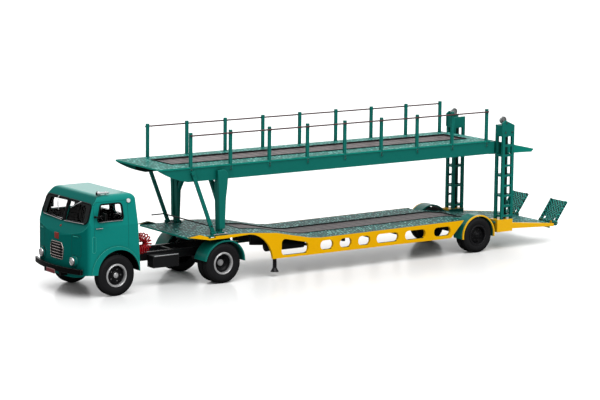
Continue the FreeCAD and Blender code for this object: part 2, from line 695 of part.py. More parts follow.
def kingpin():
    """Rubbing plate under the neck and the pin that hangs in the fifth wheel."""
    rubbing = box("rubbing_plate", "kingpin_x - 12", "-12", "neck_low_z - 0.5", 24, 24,
                  "neck_front_z - deck_plate - neck_low_z + 0.2")
    pin = rod("kingpin_rod", "Z", "kingpin_x", 0, "plate_top_z - 2.4", "kingpin_rad", 4)
    node(fuse("kingpin_body", [rubbing, pin]), "kingpin_plate")


def air_tank():
    """A tank beside the left side frame, on two brackets."""
    pieces = [rod("tank_shell", "X", "tank_x", "-tank_y", "tank_z", "tank_rad", "tank_long")]
    for end, x in (("front", "tank_x + 1.35"), ("rear", "tank_x + tank_long - 2")):
        pieces.append(box("tank_strap_" + end, x, "-1 * ( deck_half - frame_plate - fit_gap )",
                          "tank_z - 0.6", 0.85, "deck_half - frame_plate - fit_gap - tank_y", 1.2))
    node(fuse("tank_body", pieces), "air_tank")


def landing_legs():
    """Two fixed legs with flared feet that hang just clear of the floor."""
    centre_y = "leg_inset - deck_half"
    leg = rod("leg_tube", "Z", "leg_x", centre_y, "leg_foot_z + 1.5", "leg_rad",
              "leg_top_z - leg_foot_z - 1.5")
    bracket = box("leg_bracket", "leg_x - 1.2", "frame_plate + fit_gap - deck_half",
                  "leg_top_z - 7", 2.4, "leg_inset - frame_plate - fit_gap", 7)
    foot = doc.addObject("Part::Cone", "leg_foot")
    bind(foot, Radius1="foot_rad", Radius2="leg_rad", Height=2)
    seat(foot, "leg_x", centre_y, "leg_foot_z")
    node(both_sides("legs", fuse("leg_left", [leg, bracket, foot])), "landing_legs")


# ---------------------------------------------------------------- trailer: axle
def trailer_axle():
    """A straight tube on two leaf packs."""
    tube = rod("trailer_tube", "Y", "trailer_axle_x", "-trailer_hub_y", "trailer_tyre_rad",
               "axle_rad", "2 * trailer_hub_y")
    pieces = [tube]
    for side, y in (("left", "-spring_y - 1.2"), ("right", "spring_y - 1.2")):
        pieces.append(box("trailer_spring_" + side, "trailer_axle_x - 0.43 * spring_long", y,
                          "trailer_tyre_rad + 1", "spring_long", 2.4, 1.4))
        for end, x in (("front", "trailer_axle_x - 0.43 * spring_long"),
                       ("rear", "trailer_axle_x + 0.57 * spring_long - 1.2")):
            pieces.append(box(f"trailer_hanger_{side}_{end}", x, y, "trailer_tyre_rad + 2",
                              1.2, 2.4, "hanger_top_z - trailer_tyre_rad - 2"))
    node(fuse("trailer_axle_body", pieces), "trailer_axle_beam")


def trailer_fender():
    """A domed box over the twin wheels, its rim banded in yellow."""
    wide = "deck_half - trailer_fender_inner_y"
    outer = rod("bay_dome", "Y", "trailer_axle_x + band_shift", "-deck_half", "trailer_tyre_rad",
                "band_rad", wide)
    inner = rod("bay_hollow", "Y", "trailer_axle_x + band_shift", "-deck_half - 1",
                "trailer_tyre_rad", "band_rad - fender_skin", f"{wide} + 2")
    below = box("bay_below", "trailer_axle_x + band_shift - 20", "-deck_half - 1",
                "trailer_tyre_rad - 20", 40, f"{wide} + 2", "20 - band_low")
    arch = cut("bay_arch_hollow", cut("bay_arch", outer, inner), below)
    band_space = rod("band_space", "Y", "trailer_axle_x + band_shift", "-deck_half - 1",
                     "trailer_tyre_rad", "band_rad + 1", "band_wide + 1 + fit_gap")
    node(both_sides("bays", cut("bay_left", arch, band_space)), "trailer_fenders")
    band = cut("band_ring",
               rod("band_outer", "Y", "trailer_axle_x + band_shift", "-deck_half",
                   "trailer_tyre_rad", "band_rad", "band_wide"),
               rod("band_inner", "Y", "trailer_axle_x + band_shift", "-deck_half - 1",
                   "trailer_tyre_rad", "band_rad - band_thick", "band_wide + 2"))
    low = box("band_below", "trailer_axle_x + band_shift - 20", "-deck_half - 1",
              "trailer_tyre_rad - 20", 40, "band_wide + 2", "20 - band_low")
    node(both_sides("bands", cut("band_left", band, low)), "fender_bands")


# ---------------------------------------------------------------- trailer: tail and towers
def ramp_edge(side):
    """The lower-Y edge of a ramp."""
    return "ramp_inset - deck_half" if side == "left" else "deck_half - ramp_inset_right - ramp_wide"


def lug_places(side):
    """The lower-Y face of each of a ramp's hinge lugs."""
    edge = ramp_edge(side)
    return (("low", f"{edge} + lug_inset"), ("high", f"{edge} + ramp_wide - lug_inset - lug_wide"))


def tail_frame():
    """Boxes under the towers, tapering beams behind them and the ramps' hinge bar."""
    pieces = []
    for side in ("left", "right"):
        near = side == "left"
        face = "deck_half"
        block = box("tower_box_" + side, "tail_front_x",
                    f"-{face}" if near else "tower_bay_y + fit_gap", "tail_low_z",
                    "tail_box_rear_x - tail_front_x", f"{face} - tower_bay_y - fit_gap",
                    "tower_foot_z - tail_low_z")
        beam = slab("tail_beam_" + side, "XZ", [
            ("tail_box_rear_x - 1", "tail_knee_z - tail_beam_tall"),
            ("tail_end_x", "tail_end_z - tail_tip_tall"),
            ("tail_end_x", "tail_end_z"),
            ("tail_knee_x + 1", "tail_knee_z - 0.1"),
            ("tail_box_rear_x - 1", "tail_knee_z - 0.1"),
        ], ("-1 * " if near else "") + "( deck_half - tail_beam_wide / 2 )", "tail_beam_wide")
        pieces += [block, beam]
    bar = box("tail_bar", "tail_end_x - 1.2", "-deck_half + 0.5", "tail_end_z - tail_tip_tall",
              1.45, "2 * deck_half - 1", "tail_tip_tall - deck_plate - 0.1")
    front = box("tail_cross", "tail_front_x + 2", "-tower_bay_y - 1", "tail_low_z + 0.5", 2,
                "2 * tower_bay_y + 2", 3)
    pieces += [bar, front]
    for side in ("left", "right"):
        for lug, y in lug_places(side):
            pieces.append(box(f"hinge_lug_{lug}_{side}", "tail_end_x + fit_gap", y,
                              "tail_end_z - tail_tip_tall", "hinge_x + 1.1 - tail_end_x - fit_gap",
                              "lug_wide", "hinge_z + 1.1 - tail_end_z + tail_tip_tall"))
        pieces.append(rod("hinge_rod_" + side, "Y", "hinge_x", f"{ramp_edge(side)} + 0.3", "hinge_z",
                          "hinge_rad", "ramp_wide - 0.6"))
    node(fuse("tail_body", pieces), "tail_frame")


def tower():
    """A lattice mast: corner posts, rungs on each face and a gabled head."""
    pieces = []
    low_y = "-deck_half"
    for number, (x, y) in enumerate([
            ("tower_front_x", low_y),
            ("tower_front_x + tower_deep - tower_post", low_y),
            ("tower_front_x", "-deck_half + tower_wide - tower_post"),
            ("tower_front_x + tower_deep - tower_post", "-deck_half + tower_wide - tower_post")]):
        pieces.append(box(f"tower_post_{number}", x, y, "tower_foot_z", "tower_post",
                          "tower_post", "tower_top_z - tower_foot_z"))
    for number in range(RUNGS):
        z = f"rung_first_z + {number} * rung_pitch - rung_tall / 2"
        for side, y in (("outer", low_y), ("inner", "-deck_half + tower_wide - rung_thick")):
            if side == "inner" and number % 2:
                continue
            pieces.append(box(f"rung_{number}_{side}", "tower_front_x + 0.2", y, z,
                              "tower_deep - 0.4", "rung_thick", "rung_tall"))
        if number % 2 == 0:
            for end, x in (("front", "tower_front_x"),
                           ("rear", "tower_front_x + tower_deep - rung_thick")):
                pieces.append(box(f"rung_{number}_{end}", x, "-deck_half + 0.2", z,
                                  "rung_thick", "tower_wide - 0.4", "rung_tall"))
    gable = [("tower_front_x - 0.5", "tower_top_z"),
             ("tower_front_x + tower_deep", "tower_top_z"),
             ("tower_front_x + tower_deep", "cap_shoulder_z"),
             ("tower_front_x + 1.5", "cap_peak_z"),
             ("tower_front_x - 0.5", "cap_peak_z - 1.2")]
    flat_top = [("tower_front_x", "tower_top_z"), ("tower_front_x + tower_deep", "tower_top_z"),
                ("tower_front_x + tower_deep", "cap_shoulder_z"), ("tower_front_x", "cap_shoulder_z")]
    pieces.append(slab("head_outer", "XZ", gable, "-1 * ( deck_half - 0.35 )", 0.7))
    pieces.append(slab("head_inner", "XZ", flat_top, "-1 * ( deck_half - tower_wide + 0.35 )", 0.7))
    pieces.append(box("head_front", "tower_front_x", "-deck_half + 0.2", "tower_top_z", 0.7,
                      "tower_wide - 0.4", "cap_shoulder_z - tower_top_z"))
    pieces.append(box("head_floor", "tower_front_x", "-deck_half + 0.2", "tower_top_z",
                      "tower_deep", "tower_wide - 0.4", 0.7))
    node(both_sides("towers", fuse("tower_left", pieces)), "rear_towers")


def tower_guide():
    """The dark slide rail inside each tower, and the rod that carries the pulley."""
    middle = "-1 * ( deck_half - tower_wide / 2 )"
    rail = box("guide_rail", "tower_front_x + tower_deep / 2 - 0.9", f"{middle} - 0.6",
               "tower_foot_z", 1.8, 1.2, "tower_top_z - tower_foot_z")
    node(both_sides("guides", rail), "tower_guides")
    half = "pulley_wide / 2"
    wheel = turned("pulley_wheel", [
        (f"-1 * {half}", "0.4"), (half, "0.4"), (half, "pulley_rad"),
        (f"{half} - 0.35", "pulley_rad - 0.5"), (f"0.35 - {half}", "pulley_rad - 0.5"),
        (f"-1 * {half}", "pulley_rad")],
        "tower_front_x + pulley_back", middle, "pulley_z")
    stub = rod("pulley_stub", "Y", "tower_front_x + pulley_back", "-deck_half + 0.7 + fit_gap",
               "pulley_z", 0.5, f"deck_half - 0.7 - fit_gap - ( deck_half - tower_wide / 2 ) + {half}")
    saddle = box("pulley_saddle", "tower_front_x + pulley_back - 0.6", f"{middle} - {half}",
                 "tower_top_z + 0.7 + fit_gap", 1.2, "pulley_wide",
                 "pulley_z - pulley_rad + 0.6 - tower_top_z - 0.7 - fit_gap")
    node(both_sides("pulley_pair", fuse("pulley_left", [wheel, stub, saddle])), "pulleys")


# ---------------------------------------------------------------- trailer: upper deck
def upper_deck():
    """The upper plate, notched for the posts, and the flanged flap that falls between the towers."""
    plan = [("upper_front_x", "-upper_half + 0.8"), ("upper_front_x + 1.2", "-upper_half"),
            ("upper_rear_x", "-upper_half"), ("upper_rear_x", "upper_half"),
            ("upper_front_x + 1.2", "upper_half"), ("upper_front_x", "upper_half - 0.8")]
    flat = slab("upper_sheet", "XY", plan, "upper_z - deck_plate / 2", "deck_plate")
    openings = [box("upper_slot", "upper_mesh_front_x", "-upper_slot_half", "upper_z - 2",
                    "upper_mesh_rear_x - upper_mesh_front_x", "2 * upper_slot_half", 4)]
    for number in range(int(size("post_count"))):
        for side, start in (("left", "-upper_half - 1"),
                            ("right", "post_y - post_thick / 2 - fit_gap")):
            openings.append(box(f"post_notch_{side}_{number}",
                                f"post_first_x + {number} * post_pitch - post_thick / 2 - fit_gap",
                                start, "upper_z - 2", "post_thick + 2 * fit_gap",
                                "upper_half - post_y + post_thick / 2 + fit_gap + 1", 4))
    flap = slab("upper_flap", "XZ", [
        ("upper_rear_x - 0.5", "upper_z - deck_plate"), ("upper_rear_x - 0.5", "upper_z"),
        ("upper_rear_x + 1", "upper_z"), ("flap_rear_x", "upper_z - flap_drop"),
        ("flap_rear_x", "upper_z - flap_drop - deck_plate"),
        ("upper_rear_x + 1", "upper_z - deck_plate")], 0, "2 * flap_half")
    flange = slab("flap_flange", "XZ", [
        ("upper_rear_x + 3 + fit_gap", "upper_z - flange_low"),
        ("flap_rear_x - flange_end", "upper_z - flap_drop - deck_plate - 0.9"),
        ("flap_rear_x", "upper_z - flap_drop - deck_plate / 2"),
        ("upper_rear_x + 3 + fit_gap", "upper_z - 1.1")],
        "-1 * ( flap_half - flange_thick / 2 )", "flange_thick")
    flat = cut("upper_flat", flat, fuse("upper_openings", openings))
    node(fuse("upper_body", [flat, flap, flange, mirrored("flap_flange_right", flange)]), "upper_deck")


def upper_beams():
    """Deep side beams with upswept fronts, joined by cross members under the plate."""
    top = "upper_z - deck_plate"
    side_view = [("beam_front_x", f"{top}"), ("beam_front_x", f"{top} - 0.4"),
                 ("via", "beam_sweep_x", "beam_sweep_z"),
                 ("beam_full_x", "beam_low_z"),
                 ("upper_rear_x + 3", "beam_low_z"), ("upper_rear_x + 3", f"{top}")]
    pieces = []
    for side, y in (("left", "-1 * ( beam_face_y - beam_wide / 2 )"),
                    ("right", "beam_face_y - beam_wide / 2")):
        pieces.append(slab("upper_beam_" + side, "XZ", side_view, y, "beam_wide"))
    for number in range(UPPER_CROSS_MEMBERS):
        pieces.append(box(f"upper_cross_{number}",
                          f"post_first_x + {number} * post_pitch - 0.6", "-beam_face_y + 0.4",
                          f"{top} - mesh_plate - mesh_drop - 2", 1.2, "2 * beam_face_y - 0.8", 2))
    node(fuse("upper_beam_body", pieces), "upper_beams")


def posts_and_wires():
    """Rail posts on the side beams, and a wire along each side near their tops."""
    posts, wires = [], []
    for side, sign in (("left", "-1 * "), ("right", "")):
        for number in range(int(size("post_count"))):
            posts.append(box(f"post_{side}_{number}",
                             f"post_first_x + {number} * post_pitch - post_thick / 2",
                             f"{sign}post_y - post_thick / 2", "upper_z - deck_plate",
                             "post_thick", "post_thick", "post_top_z - upper_z + deck_plate"))
        wires.append(rod("wire_" + side, "X", "post_first_x - post_thick / 2",
                         f"{sign}( post_y + post_thick / 2 + wire_rad )",
                         "post_top_z - wire_drop", "wire_rad",
                         "( post_count - 1 ) * post_pitch + post_thick"))
    node(together("post_rows", posts), "posts")
    node(together("wire_pair", wires), "rail_wires")


# ---------------------------------------------------------------- trailer: portal
def portal():
    """Columns that taper to their feet, clasp the side beams and brace a cross member."""
    head_z = "beam_low_z"
    inner_y = "( portal_y - portal_wide / 2 )"
    outer_y = "( portal_y + portal_wide / 2 )"
    depth = slab("column_depth", "XZ", [
        ("portal_x - portal_foot / 2", "neck_front_z"),
        ("portal_x + portal_foot / 2", "neck_front_z"),
        ("portal_x + portal_head / 2", f"{head_z} - 3"),
        ("portal_x + portal_head / 2", "column_top_z"),
        ("portal_x - portal_head / 2", "column_top_z"),
        ("portal_x - portal_head / 2", f"{head_z} - 3")], 0, "3 * deck_half")
    front = slab("column_front", "YZ", [
        (f"-1 * {inner_y}", "neck_front_z + 0.05"),
        (f"0.7 - {outer_y}", "neck_front_z + 0.05"),
        (f"-1 * {outer_y}", f"{head_z} - 10"),
        (f"-1 * {outer_y}", "column_top_z - 1.6", 1),
        ("-beam_face_y - fit_gap", "column_top_z"),
        ("-beam_face_y - fit_gap", f"{head_z} - fit_gap"),
        (f"-1 * {inner_y}", f"{head_z} - fit_gap")], "portal_x", "4 * portal_head")
    column = common("column_shaft", depth, front)
    foot = box("column_foot", "portal_x - 1.9", "-portal_y - 2", "neck_flat_z + 0.25", 3.8, 4,
               "neck_front_z - neck_flat_z + 0.85")
    knee = slab("column_knee", "YZ", [
        (f"-1 * {inner_y} - 0.2", "knee_low_z"), (f"-1 * {inner_y} - 0.2", "knee_low_z - 2.6"),
        ("-1 * knee_reach_y", "beam_low_z + 1.6"), ("-1 * knee_reach_y - 2", "beam_low_z + 1.6")],
        "portal_x", 2)
    side = fuse("column_left", [column, foot, knee])
    cross = box("portal_cross", "portal_x - 1.2", "-beam_face_y + beam_wide + fit_gap",
                "beam_low_z + 1.5", 2.4, "2 * ( beam_face_y - beam_wide - fit_gap )", 2)
    node(fuse("portal_body", [side, mirrored("column_right", side), cross]), "portal_columns")


def struts():
    """Slanting bars from the upper beams to the neck, pinned at both ends."""
    bar = slab("strut_bar", "XZ", [
        ("strut_head_x - strut_thick / 2", "strut_head_z"),
        ("strut_foot_x - strut_thick / 2", "strut_foot_z"),
        ("strut_foot_x + strut_thick / 2", "strut_foot_z"),
        ("strut_head_x + strut_thick / 2", "strut_head_z")],
        "-1 * ( beam_face_y + fit_gap + 0.5 )", 1)
    pin = rod("strut_pin", "Y", "strut_head_x", "-1 * ( beam_face_y + fit_gap + 1.6 )",
              "strut_head_z - 0.4", 1, 1.6)
    foot = box("strut_foot", "strut_foot_x - 1.4", "-1 * ( beam_face_y + fit_gap + 1.6 )",
               "neck_front_z + 0.05", 2.8, 1.8, "strut_foot_z - neck_front_z + 0.4")
    eye = rod("strut_eye", "Y", "shaft_x", "-2 * deck_half", "shaft_z", "shaft_rad + fit_gap",
              "2 * deck_half")
    node(both_sides("strut_pair", cut("strut_left", fuse("strut_solid", [bar, pin, foot]), eye)),
         "portal_struts")


def winch_shaft():
    """A thin cross shaft through the struts, with its crank at the right side."""
    end_y = "( beam_face_y + 2.6 )"
    shaft = rod("shaft_rod", "Y", "shaft_x", f"-1 * {end_y} + 0.8", "shaft_z", "shaft_rad",
                f"2 * {end_y} - 0.8")
    crank = rod("shaft_crank", "X", "shaft_x - crank_long", f"{end_y} - shaft_rad", "shaft_z",
                "shaft_rad", "crank_long")
    node(fuse("shaft_body", [shaft, crank]), "winch_shaft")


# ---------------------------------------------------------------- tractor: cab
def cab_form(name, inset):
    """The cab's closed form, shrunk by an inset: side view, plan and front view in common."""
    side_view = slab(name + "_side", "XZ", [
        (f"cab_rear_x - {inset}", "cab_low_z - 1"),
        (f"cab_nose_x + {inset}", "cab_low_z - 1"),
        (f"cab_nose_x + {inset}", "shoulder_z", 4.5),
        (f"screen_foot_x + {inset}", "belt_z + 0.7", 2),
        (f"screen_top_x + {inset}", "glass_top_z", 3),
        (f"brow_x + {inset}", f"roof_z - {inset}", 4),
        (f"cab_rear_top_x - {inset}", f"roof_z - {inset}", 3),
    ], 0, "4 * cab_half")
    plan = slab(name + "_plan", "XY", [
        (f"cab_rear_x - {inset} + 2", f"{inset} - cab_half"),
        (f"cab_corner_x + {inset} + cab_round", f"{inset} - cab_half"),
        ("via", f"cab_corner_x + {inset} + 0.34 * cab_round", f"{inset} - cab_half + 0.27 * cab_round"),
        (f"cab_corner_x + {inset}", f"{inset} - cab_half + cab_round"),
        ("via", f"cab_nose_x + {inset}", 0),
        (f"cab_corner_x + {inset}", f"cab_half - {inset} - cab_round"),
        ("via", f"cab_corner_x + {inset} + 0.34 * cab_round", f"cab_half - {inset} - 0.27 * cab_round"),
        (f"cab_corner_x + {inset} + cab_round", f"cab_half - {inset}"),
        (f"cab_rear_x - {inset} + 2", f"cab_half - {inset}"),
    ], "roof_z / 2", "3 * roof_z")
    front_view = slab(name + "_front", "YZ", [
        (f"{inset} - cab_half", "cab_low_z - 2"),
        (f"{inset} - cab_half", "belt_z"),
        (f"{inset} - roof_half", f"roof_z - {inset}", "roof_round"),
        (f"roof_half - {inset}", f"roof_z - {inset}", "roof_round"),
        (f"cab_half - {inset}", "belt_z"),
        (f"cab_half - {inset}", "cab_low_z - 2"),
    ], "arch_x", "4 * cab_half")
    return common(name, common(name + "_block", side_view, plan), front_view)


def window_slabs(name, gap):
    """Blocks the shape of each window, a gap smaller all round than its opening."""
    slabs = []
    for side, sign in (("left", "-1 * "), ("right", "")):
        slabs.append(slab(f"{name}_screen_{side}", "YZ", [
            (f"{sign}( screen_inner_y + {gap} )", f"screen_low_z + {gap}"),
            (f"{sign}( screen_outer_y - {gap} )", f"screen_low_z + 0.6 + {gap}", 1.6),
            (f"{sign}( screen_outer_y - 1 - {gap} )", f"glass_top_z - 0.4 - {gap}", 1.6),
            (f"{sign}( screen_inner_y + {gap} )", f"glass_top_z - {gap}"),
        ], "cab_nose_x + 5", 12))
        slabs.append(slab(f"{name}_rear_{side}", "YZ", [
            (f"{sign}( 2 + {gap} )", f"screen_low_z + 2 + {gap}", 1.2),
            (f"{sign}( 14 - {gap} )", f"screen_low_z + 2 + {gap}", 1.2),
            (f"{sign}( 14 - {gap} )", f"glass_top_z - 0.8 - {gap}", 1.2),
            (f"{sign}( 2 + {gap} )", f"glass_top_z - 0.8 - {gap}", 1.2),
        ], "cab_rear_x - 1", 5))
    slabs.append(slab(f"{name}_doors", "XZ", [
        (f"door_glass_front_x + {gap}", f"door_glass_low_z + {gap}", 0.8),
        (f"door_glass_rear_x - {gap}", f"door_glass_low_z + {gap}", 1.4),
        (f"door_glass_rear_x - 0.6 - {gap}", f"glass_top_z - {gap}", 1.6),
        (f"door_glass_front_x + 2.4 + {gap}", f"glass_top_z - {gap}", 1.0),
    ], 0, "4 * cab_half"))
    return fuse(name, slabs)


def grille_outline(gap):
    return [(f"-grille_half + 0.9 + {gap}", f"grille_low_z + {gap}", 1.6),
            (f"grille_half - 0.9 - {gap}", f"grille_low_z + {gap}", 1.6),
            (f"grille_half - {gap}", f"grille_top_z - 3"),
            (f"grille_half - 1.4 - {gap}", f"grille_top_z - {gap}", 1.2),
            (f"-grille_half + 1.4 + {gap}", f"grille_top_z - {gap}", 1.2),
            (f"-grille_half + {gap}", f"grille_top_z - 3")]


def cab():
    """Hollow cab: skin, windows, wheel arches with lips, and a grille opening."""
    outer = cab_form("cab_outer", "0")
    inner = cab_form("cab_inner", "cab_wall")
    low = box("cab_below", "cab_nose_x - 5", "-cab_half - 5", 0, 60, "2 * cab_half + 10",
              "cab_low_z")
    arch = rod("arch_opening", "Y", "arch_x", "-cab_half - 5", "arch_z", "arch_rad",
               "2 * cab_half + 10")
    mouth = slab("grille_mouth", "YZ", grille_outline("0"), "cab_nose_x", 6)
    rail_pass = box("cab_rail_pass", "cab_rear_x - 4", "-rail_y - fit_gap", 0, 6,
                    "2 * ( rail_y + fit_gap )", "rail_top_z + fit_gap")
    shell = cut("cab_skin", outer, fuse("cab_cuts", [
        inner, low, arch, rail_pass, window_slabs("window_openings", "0"), mouth]))
    lips = []
    for side, start in (("left", "-cab_half - 0.35"), ("right", "cab_half - 0.5")):
        ring = cut(f"arch_lip_ring_{side}",
                   rod(f"arch_lip_{side}", "Y", "arch_x - arch_lip_shift", start, "arch_z",
                       "arch_rad + arch_lip", "arch_lip_thick"),
                   rod(f"arch_lip_hole_{side}", "Y", "arch_x", f"{start} - 1", "arch_z",
                       "arch_rad", 3))
        lips.append(ring)
    lip_trim = fuse("arch_lips", lips)
    lip_low = box("arch_lip_below", "arch_x - 20", "-cab_half - 5", "-10", 40,
                  "2 * cab_half + 10", "cab_low_z + 10")
    node(fuse("cab_body", [shell, cut("arch_lips_cut", lip_trim, lip_low)]), "cab_shell")

    pane_outer = cab_form("pane_outer", "pane_inset")
    pane_inner = cab_form("pane_inner", "( pane_inset + pane_thick )")
    panes = common("panes", cut("pane_skin", pane_outer, pane_inner),
                   window_slabs("window_panes", "fit_gap"))
    node(panes, "cab_glazing")


def cab_interior():
    """Floor, engine cover, two seats, dash and steering wheel, all inside the skin."""
    room = cab_form("cab_room", "( cab_wall + 2 * fit_gap )")
    pieces = [
        box("cab_floor", "cab_nose_x", "-cab_half", "floor_z", "floor_long", "2 * cab_half", 0.9),
        box("engine_cover", "cab_nose_x + 3", -5, "floor_z + 0.8", 20, 10, 5.6),
        box("dash", "cab_nose_x", "-cab_half", "belt_z - 3.4", 5.6, "2 * cab_half", 2.6),
        box("dash_wall", "cab_nose_x + 1.5", "-cab_half", "floor_z + 0.8", 1.2, "2 * cab_half",
            "belt_z - 4 - floor_z"),
    ]
    for side, sign in (("left", "-1 *"), ("right", "")):
        y = f"{sign} driver_y - seat_wide / 2"
        pieces.append(box(f"seat_{side}", "cab_rear_x - 14", y, "floor_z + 0.8", 9, "seat_wide", 5))
        pieces.append(box(f"seat_back_{side}", "cab_rear_x - 5.4", y, "floor_z + 0.8", 2.2,
                          "seat_wide", 13))
    wheel_x = "cab_nose_x + wheel_back"
    column = rod("steering_column", "Z", wheel_x, "-driver_y", "floor_z + 0.8", 0.5,
                 "wheel_lift - 0.8")
    wheel = doc.addObject("Part::Torus", "steering_wheel")
    bind(wheel, Radius1="wheel_rad", Radius2="wheel_rim_rad")
    seat(wheel, wheel_x, "-driver_y", "floor_z + wheel_lift")
    spoke = box("steering_spoke", f"{wheel_x} - wheel_rad", "-driver_y - wheel_rim_rad",
                "floor_z + wheel_lift - 0.3", "2 * wheel_rad", "2 * wheel_rim_rad", 0.5)
    fitted = common("interior_fit", fuse("interior_pieces", pieces), room)
    node(fuse("interior_body", [fitted, column, wheel, spoke]), "cab_interior")


def grille():
    """A dark surround set in the nose with bright bars across it."""
    back = slab("grille_back", "YZ", grille_outline("fit_gap"), "cab_nose_x + 0.6", 0.6)
    pieces = [back]
    for number in range(GRILLE_BARS):
        pieces.append(box(f"grille_bar_{number}", "cab_nose_x - 0.35", "-grille_half + 1.3",
                          f"grille_low_z + 0.9 + {number} * bar_pitch", 0.8,
                          "2 * grille_half - 2.6", 0.8))
    node(fuse("grille_body", pieces), "grille")


def front_lamps(cab_face):
    lamp = rod("lamp_bowl", "X", "lamp_front_x", "-lamp_y", "lamp_z", "lamp_rad", 3)
    node(both_sides("lamp_pair", cut("lamp_left", lamp, cab_face)), "headlights")


def front_bumper():
    """A bowed bar on two brackets from the chassis."""
    bar = slab("bumper_bar", "XY", [
        ("bumper_end_x", "-bumper_half"), ("via", "bumper_x", 0), ("bumper_end_x", "bumper_half"),
        ("bumper_end_x + bumper_thick", "bumper_half - 0.1"),
        ("via", "bumper_x + bumper_thick", 0),
        ("bumper_end_x + bumper_thick", "0.1 - bumper_half")],
        "bumper_low_z + bumper_tall / 2", "bumper_tall")
    pieces = [bar]
    for side, y in (("left", "-rail_y"), ("right", "rail_y - rail_wide")):
        # columns: part of the arm, its front, length, lower edge, upper edge
        for part, x, long, low, high in (
                ("bar", "bumper_x + 1", "rail_front_x - bumper_x + 1", "cab_low_z - 1.5",
                 "cab_low_z - 0.1"),
                ("front", "bumper_x + 1", "1", "cab_low_z - 1.5", "bumper_low_z + 0.4"),
                ("rear", "rail_front_x + 0.8", "1.2", "cab_low_z - 1.5",
                 "rail_top_z - rail_tall - fit_gap")):
            pieces.append(box(f"bumper_{part}_{side}", x, y, low, long, "rail_wide",
                              f"{high} - ( {low} )"))
    node(fuse("bumper_body", pieces), "front_bumper")
    node(box("plate_blank", "bumper_x - fit_gap - plate_thick", "plate_y", "plate_low_z",
             "plate_thick", "plate_wide", "plate_tall"), "number_plate")


def mirrors(cab_face):
    """An upright head on an arm that reaches out from the door pillar and back."""
    arm_y = "( mirror_outer_y - 0.6 * mirror_wide )"
    arm_z = "mirror_low_z + mirror_tall / 2 - mirror_arm_thick / 2"
    out = box("mirror_arm_out", "mirror_arm_x", f"-1 * {arm_y}", arm_z, "mirror_arm_thick",
              f"{arm_y} - cab_half + 2", "mirror_arm_thick")
    back = box("mirror_arm_back", "mirror_arm_x", f"-1 * {arm_y}", arm_z,
               "mirror_x - mirror_arm_x + 0.2", "mirror_arm_thick", "mirror_arm_thick")
    high = "mirror_low_z + mirror_tall"
    head = slab("mirror_head", "YZ", [
        ("-mirror_outer_y", "mirror_low_z", 0.7), ("mirror_wide - mirror_outer_y", "mirror_low_z", 0.7),
        ("mirror_wide - mirror_outer_y", high, 0.7), ("-mirror_outer_y", high, 0.7)],
        "mirror_x + mirror_thick / 2", "mirror_thick")
    arm = cut("mirror_arm", fuse("mirror_arm_bent", [out, back]), cab_face)
    node(both_sides("mirror_pair", fuse("mirror_left", [arm, head])), "mirrors")


def horns(cab_face):
    """Two trumpets of unlike length on a foot at the roof's left edge."""
    foot = box("horn_foot", "horn_x + 3.2", "-horn_y - horn_apart / 2 - horn_tube_rad",
               "horn_z - 3", 1.6, "horn_apart + 2 * horn_tube_rad", 3)
    pieces = [cut("horn_foot_seated", foot, cab_face)]
    # columns: horn, its mouth, its middle line
    for horn, mouth_x, y in (("long", "horn_x", "-horn_y - horn_apart / 2"),
                             ("short", "horn_x + 1.4", "-horn_y + horn_apart / 2")):
        bell = doc.addObject("Part::Cone", f"horn_bell_{horn}")
        bell.Placement = Placement(Vector(), Rotation(Vector(0, 1, 0), 90))
        bind(bell, Radius1="horn_mouth_rad", Radius2="horn_tube_rad", Height="horn_bell_long")
        seat(bell, mouth_x, y, "horn_z")
        pieces += [bell, rod(f"horn_tube_{horn}", "X", f"{mouth_x} + horn_bell_long - 0.1", y,
                             "horn_z", "horn_tube_rad", f"horn_x + horn_long - ( {mouth_x} ) "
                             "- horn_bell_long + 0.1")]
    node(fuse("horn_body", pieces), "horns")


# ---------------------------------------------------------------- tractor: chassis
def chassis():
    """Two rails notched over the drive axle, cross members and fender brackets."""
    low = "rail_top_z - rail_tall"
    rails, pieces = [], []
    for side, y in (("left", "-rail_y"), ("right", "rail_y - rail_wide")):
        rails.append(box(f"rail_{side}", "rail_front_x", y, low, "rail_rear_x - rail_front_x",
                         "rail_wide", "rail_tall"))
    notch = rod("axle_notch", "Y", "drive_axle_x", -20, "tyre_rad", "axle_rad + fit_gap", 40)
    pieces.append(cut("rails_notched", fuse("rails", rails), notch))
    for number, x in enumerate(TRACTOR_CROSS_MEMBERS):
        pieces.append(box(f"tractor_cross_{number}", x, "-rail_y + 0.2", f"{low} + 0.4", 1.2,
                          "2 * rail_y - 0.4", "rail_tall - 0.8"))
    for side, near in (("left", True), ("right", False)):
        y = "-fender_inner_y + fit_gap" if near else "rail_y - arm_seat"
        pieces.append(box(f"fender_arm_{side}", "drive_axle_x - 1", y, "rail_top_z - fit_gap", 2,
                          "fender_inner_y - rail_y + arm_seat - fit_gap", 1))
        y = "-fender_inner_y + fit_gap" if near else "fender_inner_y - 0.7 - fit_gap"
        pieces.append(box(f"fender_upright_{side}", "drive_axle_x - 1", y, "rail_top_z - fit_gap", 2,
                          0.7, "tyre_rad + fender_top - rail_top_z - 0.2"))
    node(fuse("chassis_body", pieces), "chassis_frame")


def side_boxes():
    block = box("side_box", "box_front_x", "-box_face_y", "box_low_z", "box_long",
                "box_face_y - rail_y - fit_gap", "box_tall")
    node(both_sides("side_box_pair", block), "side_boxes")


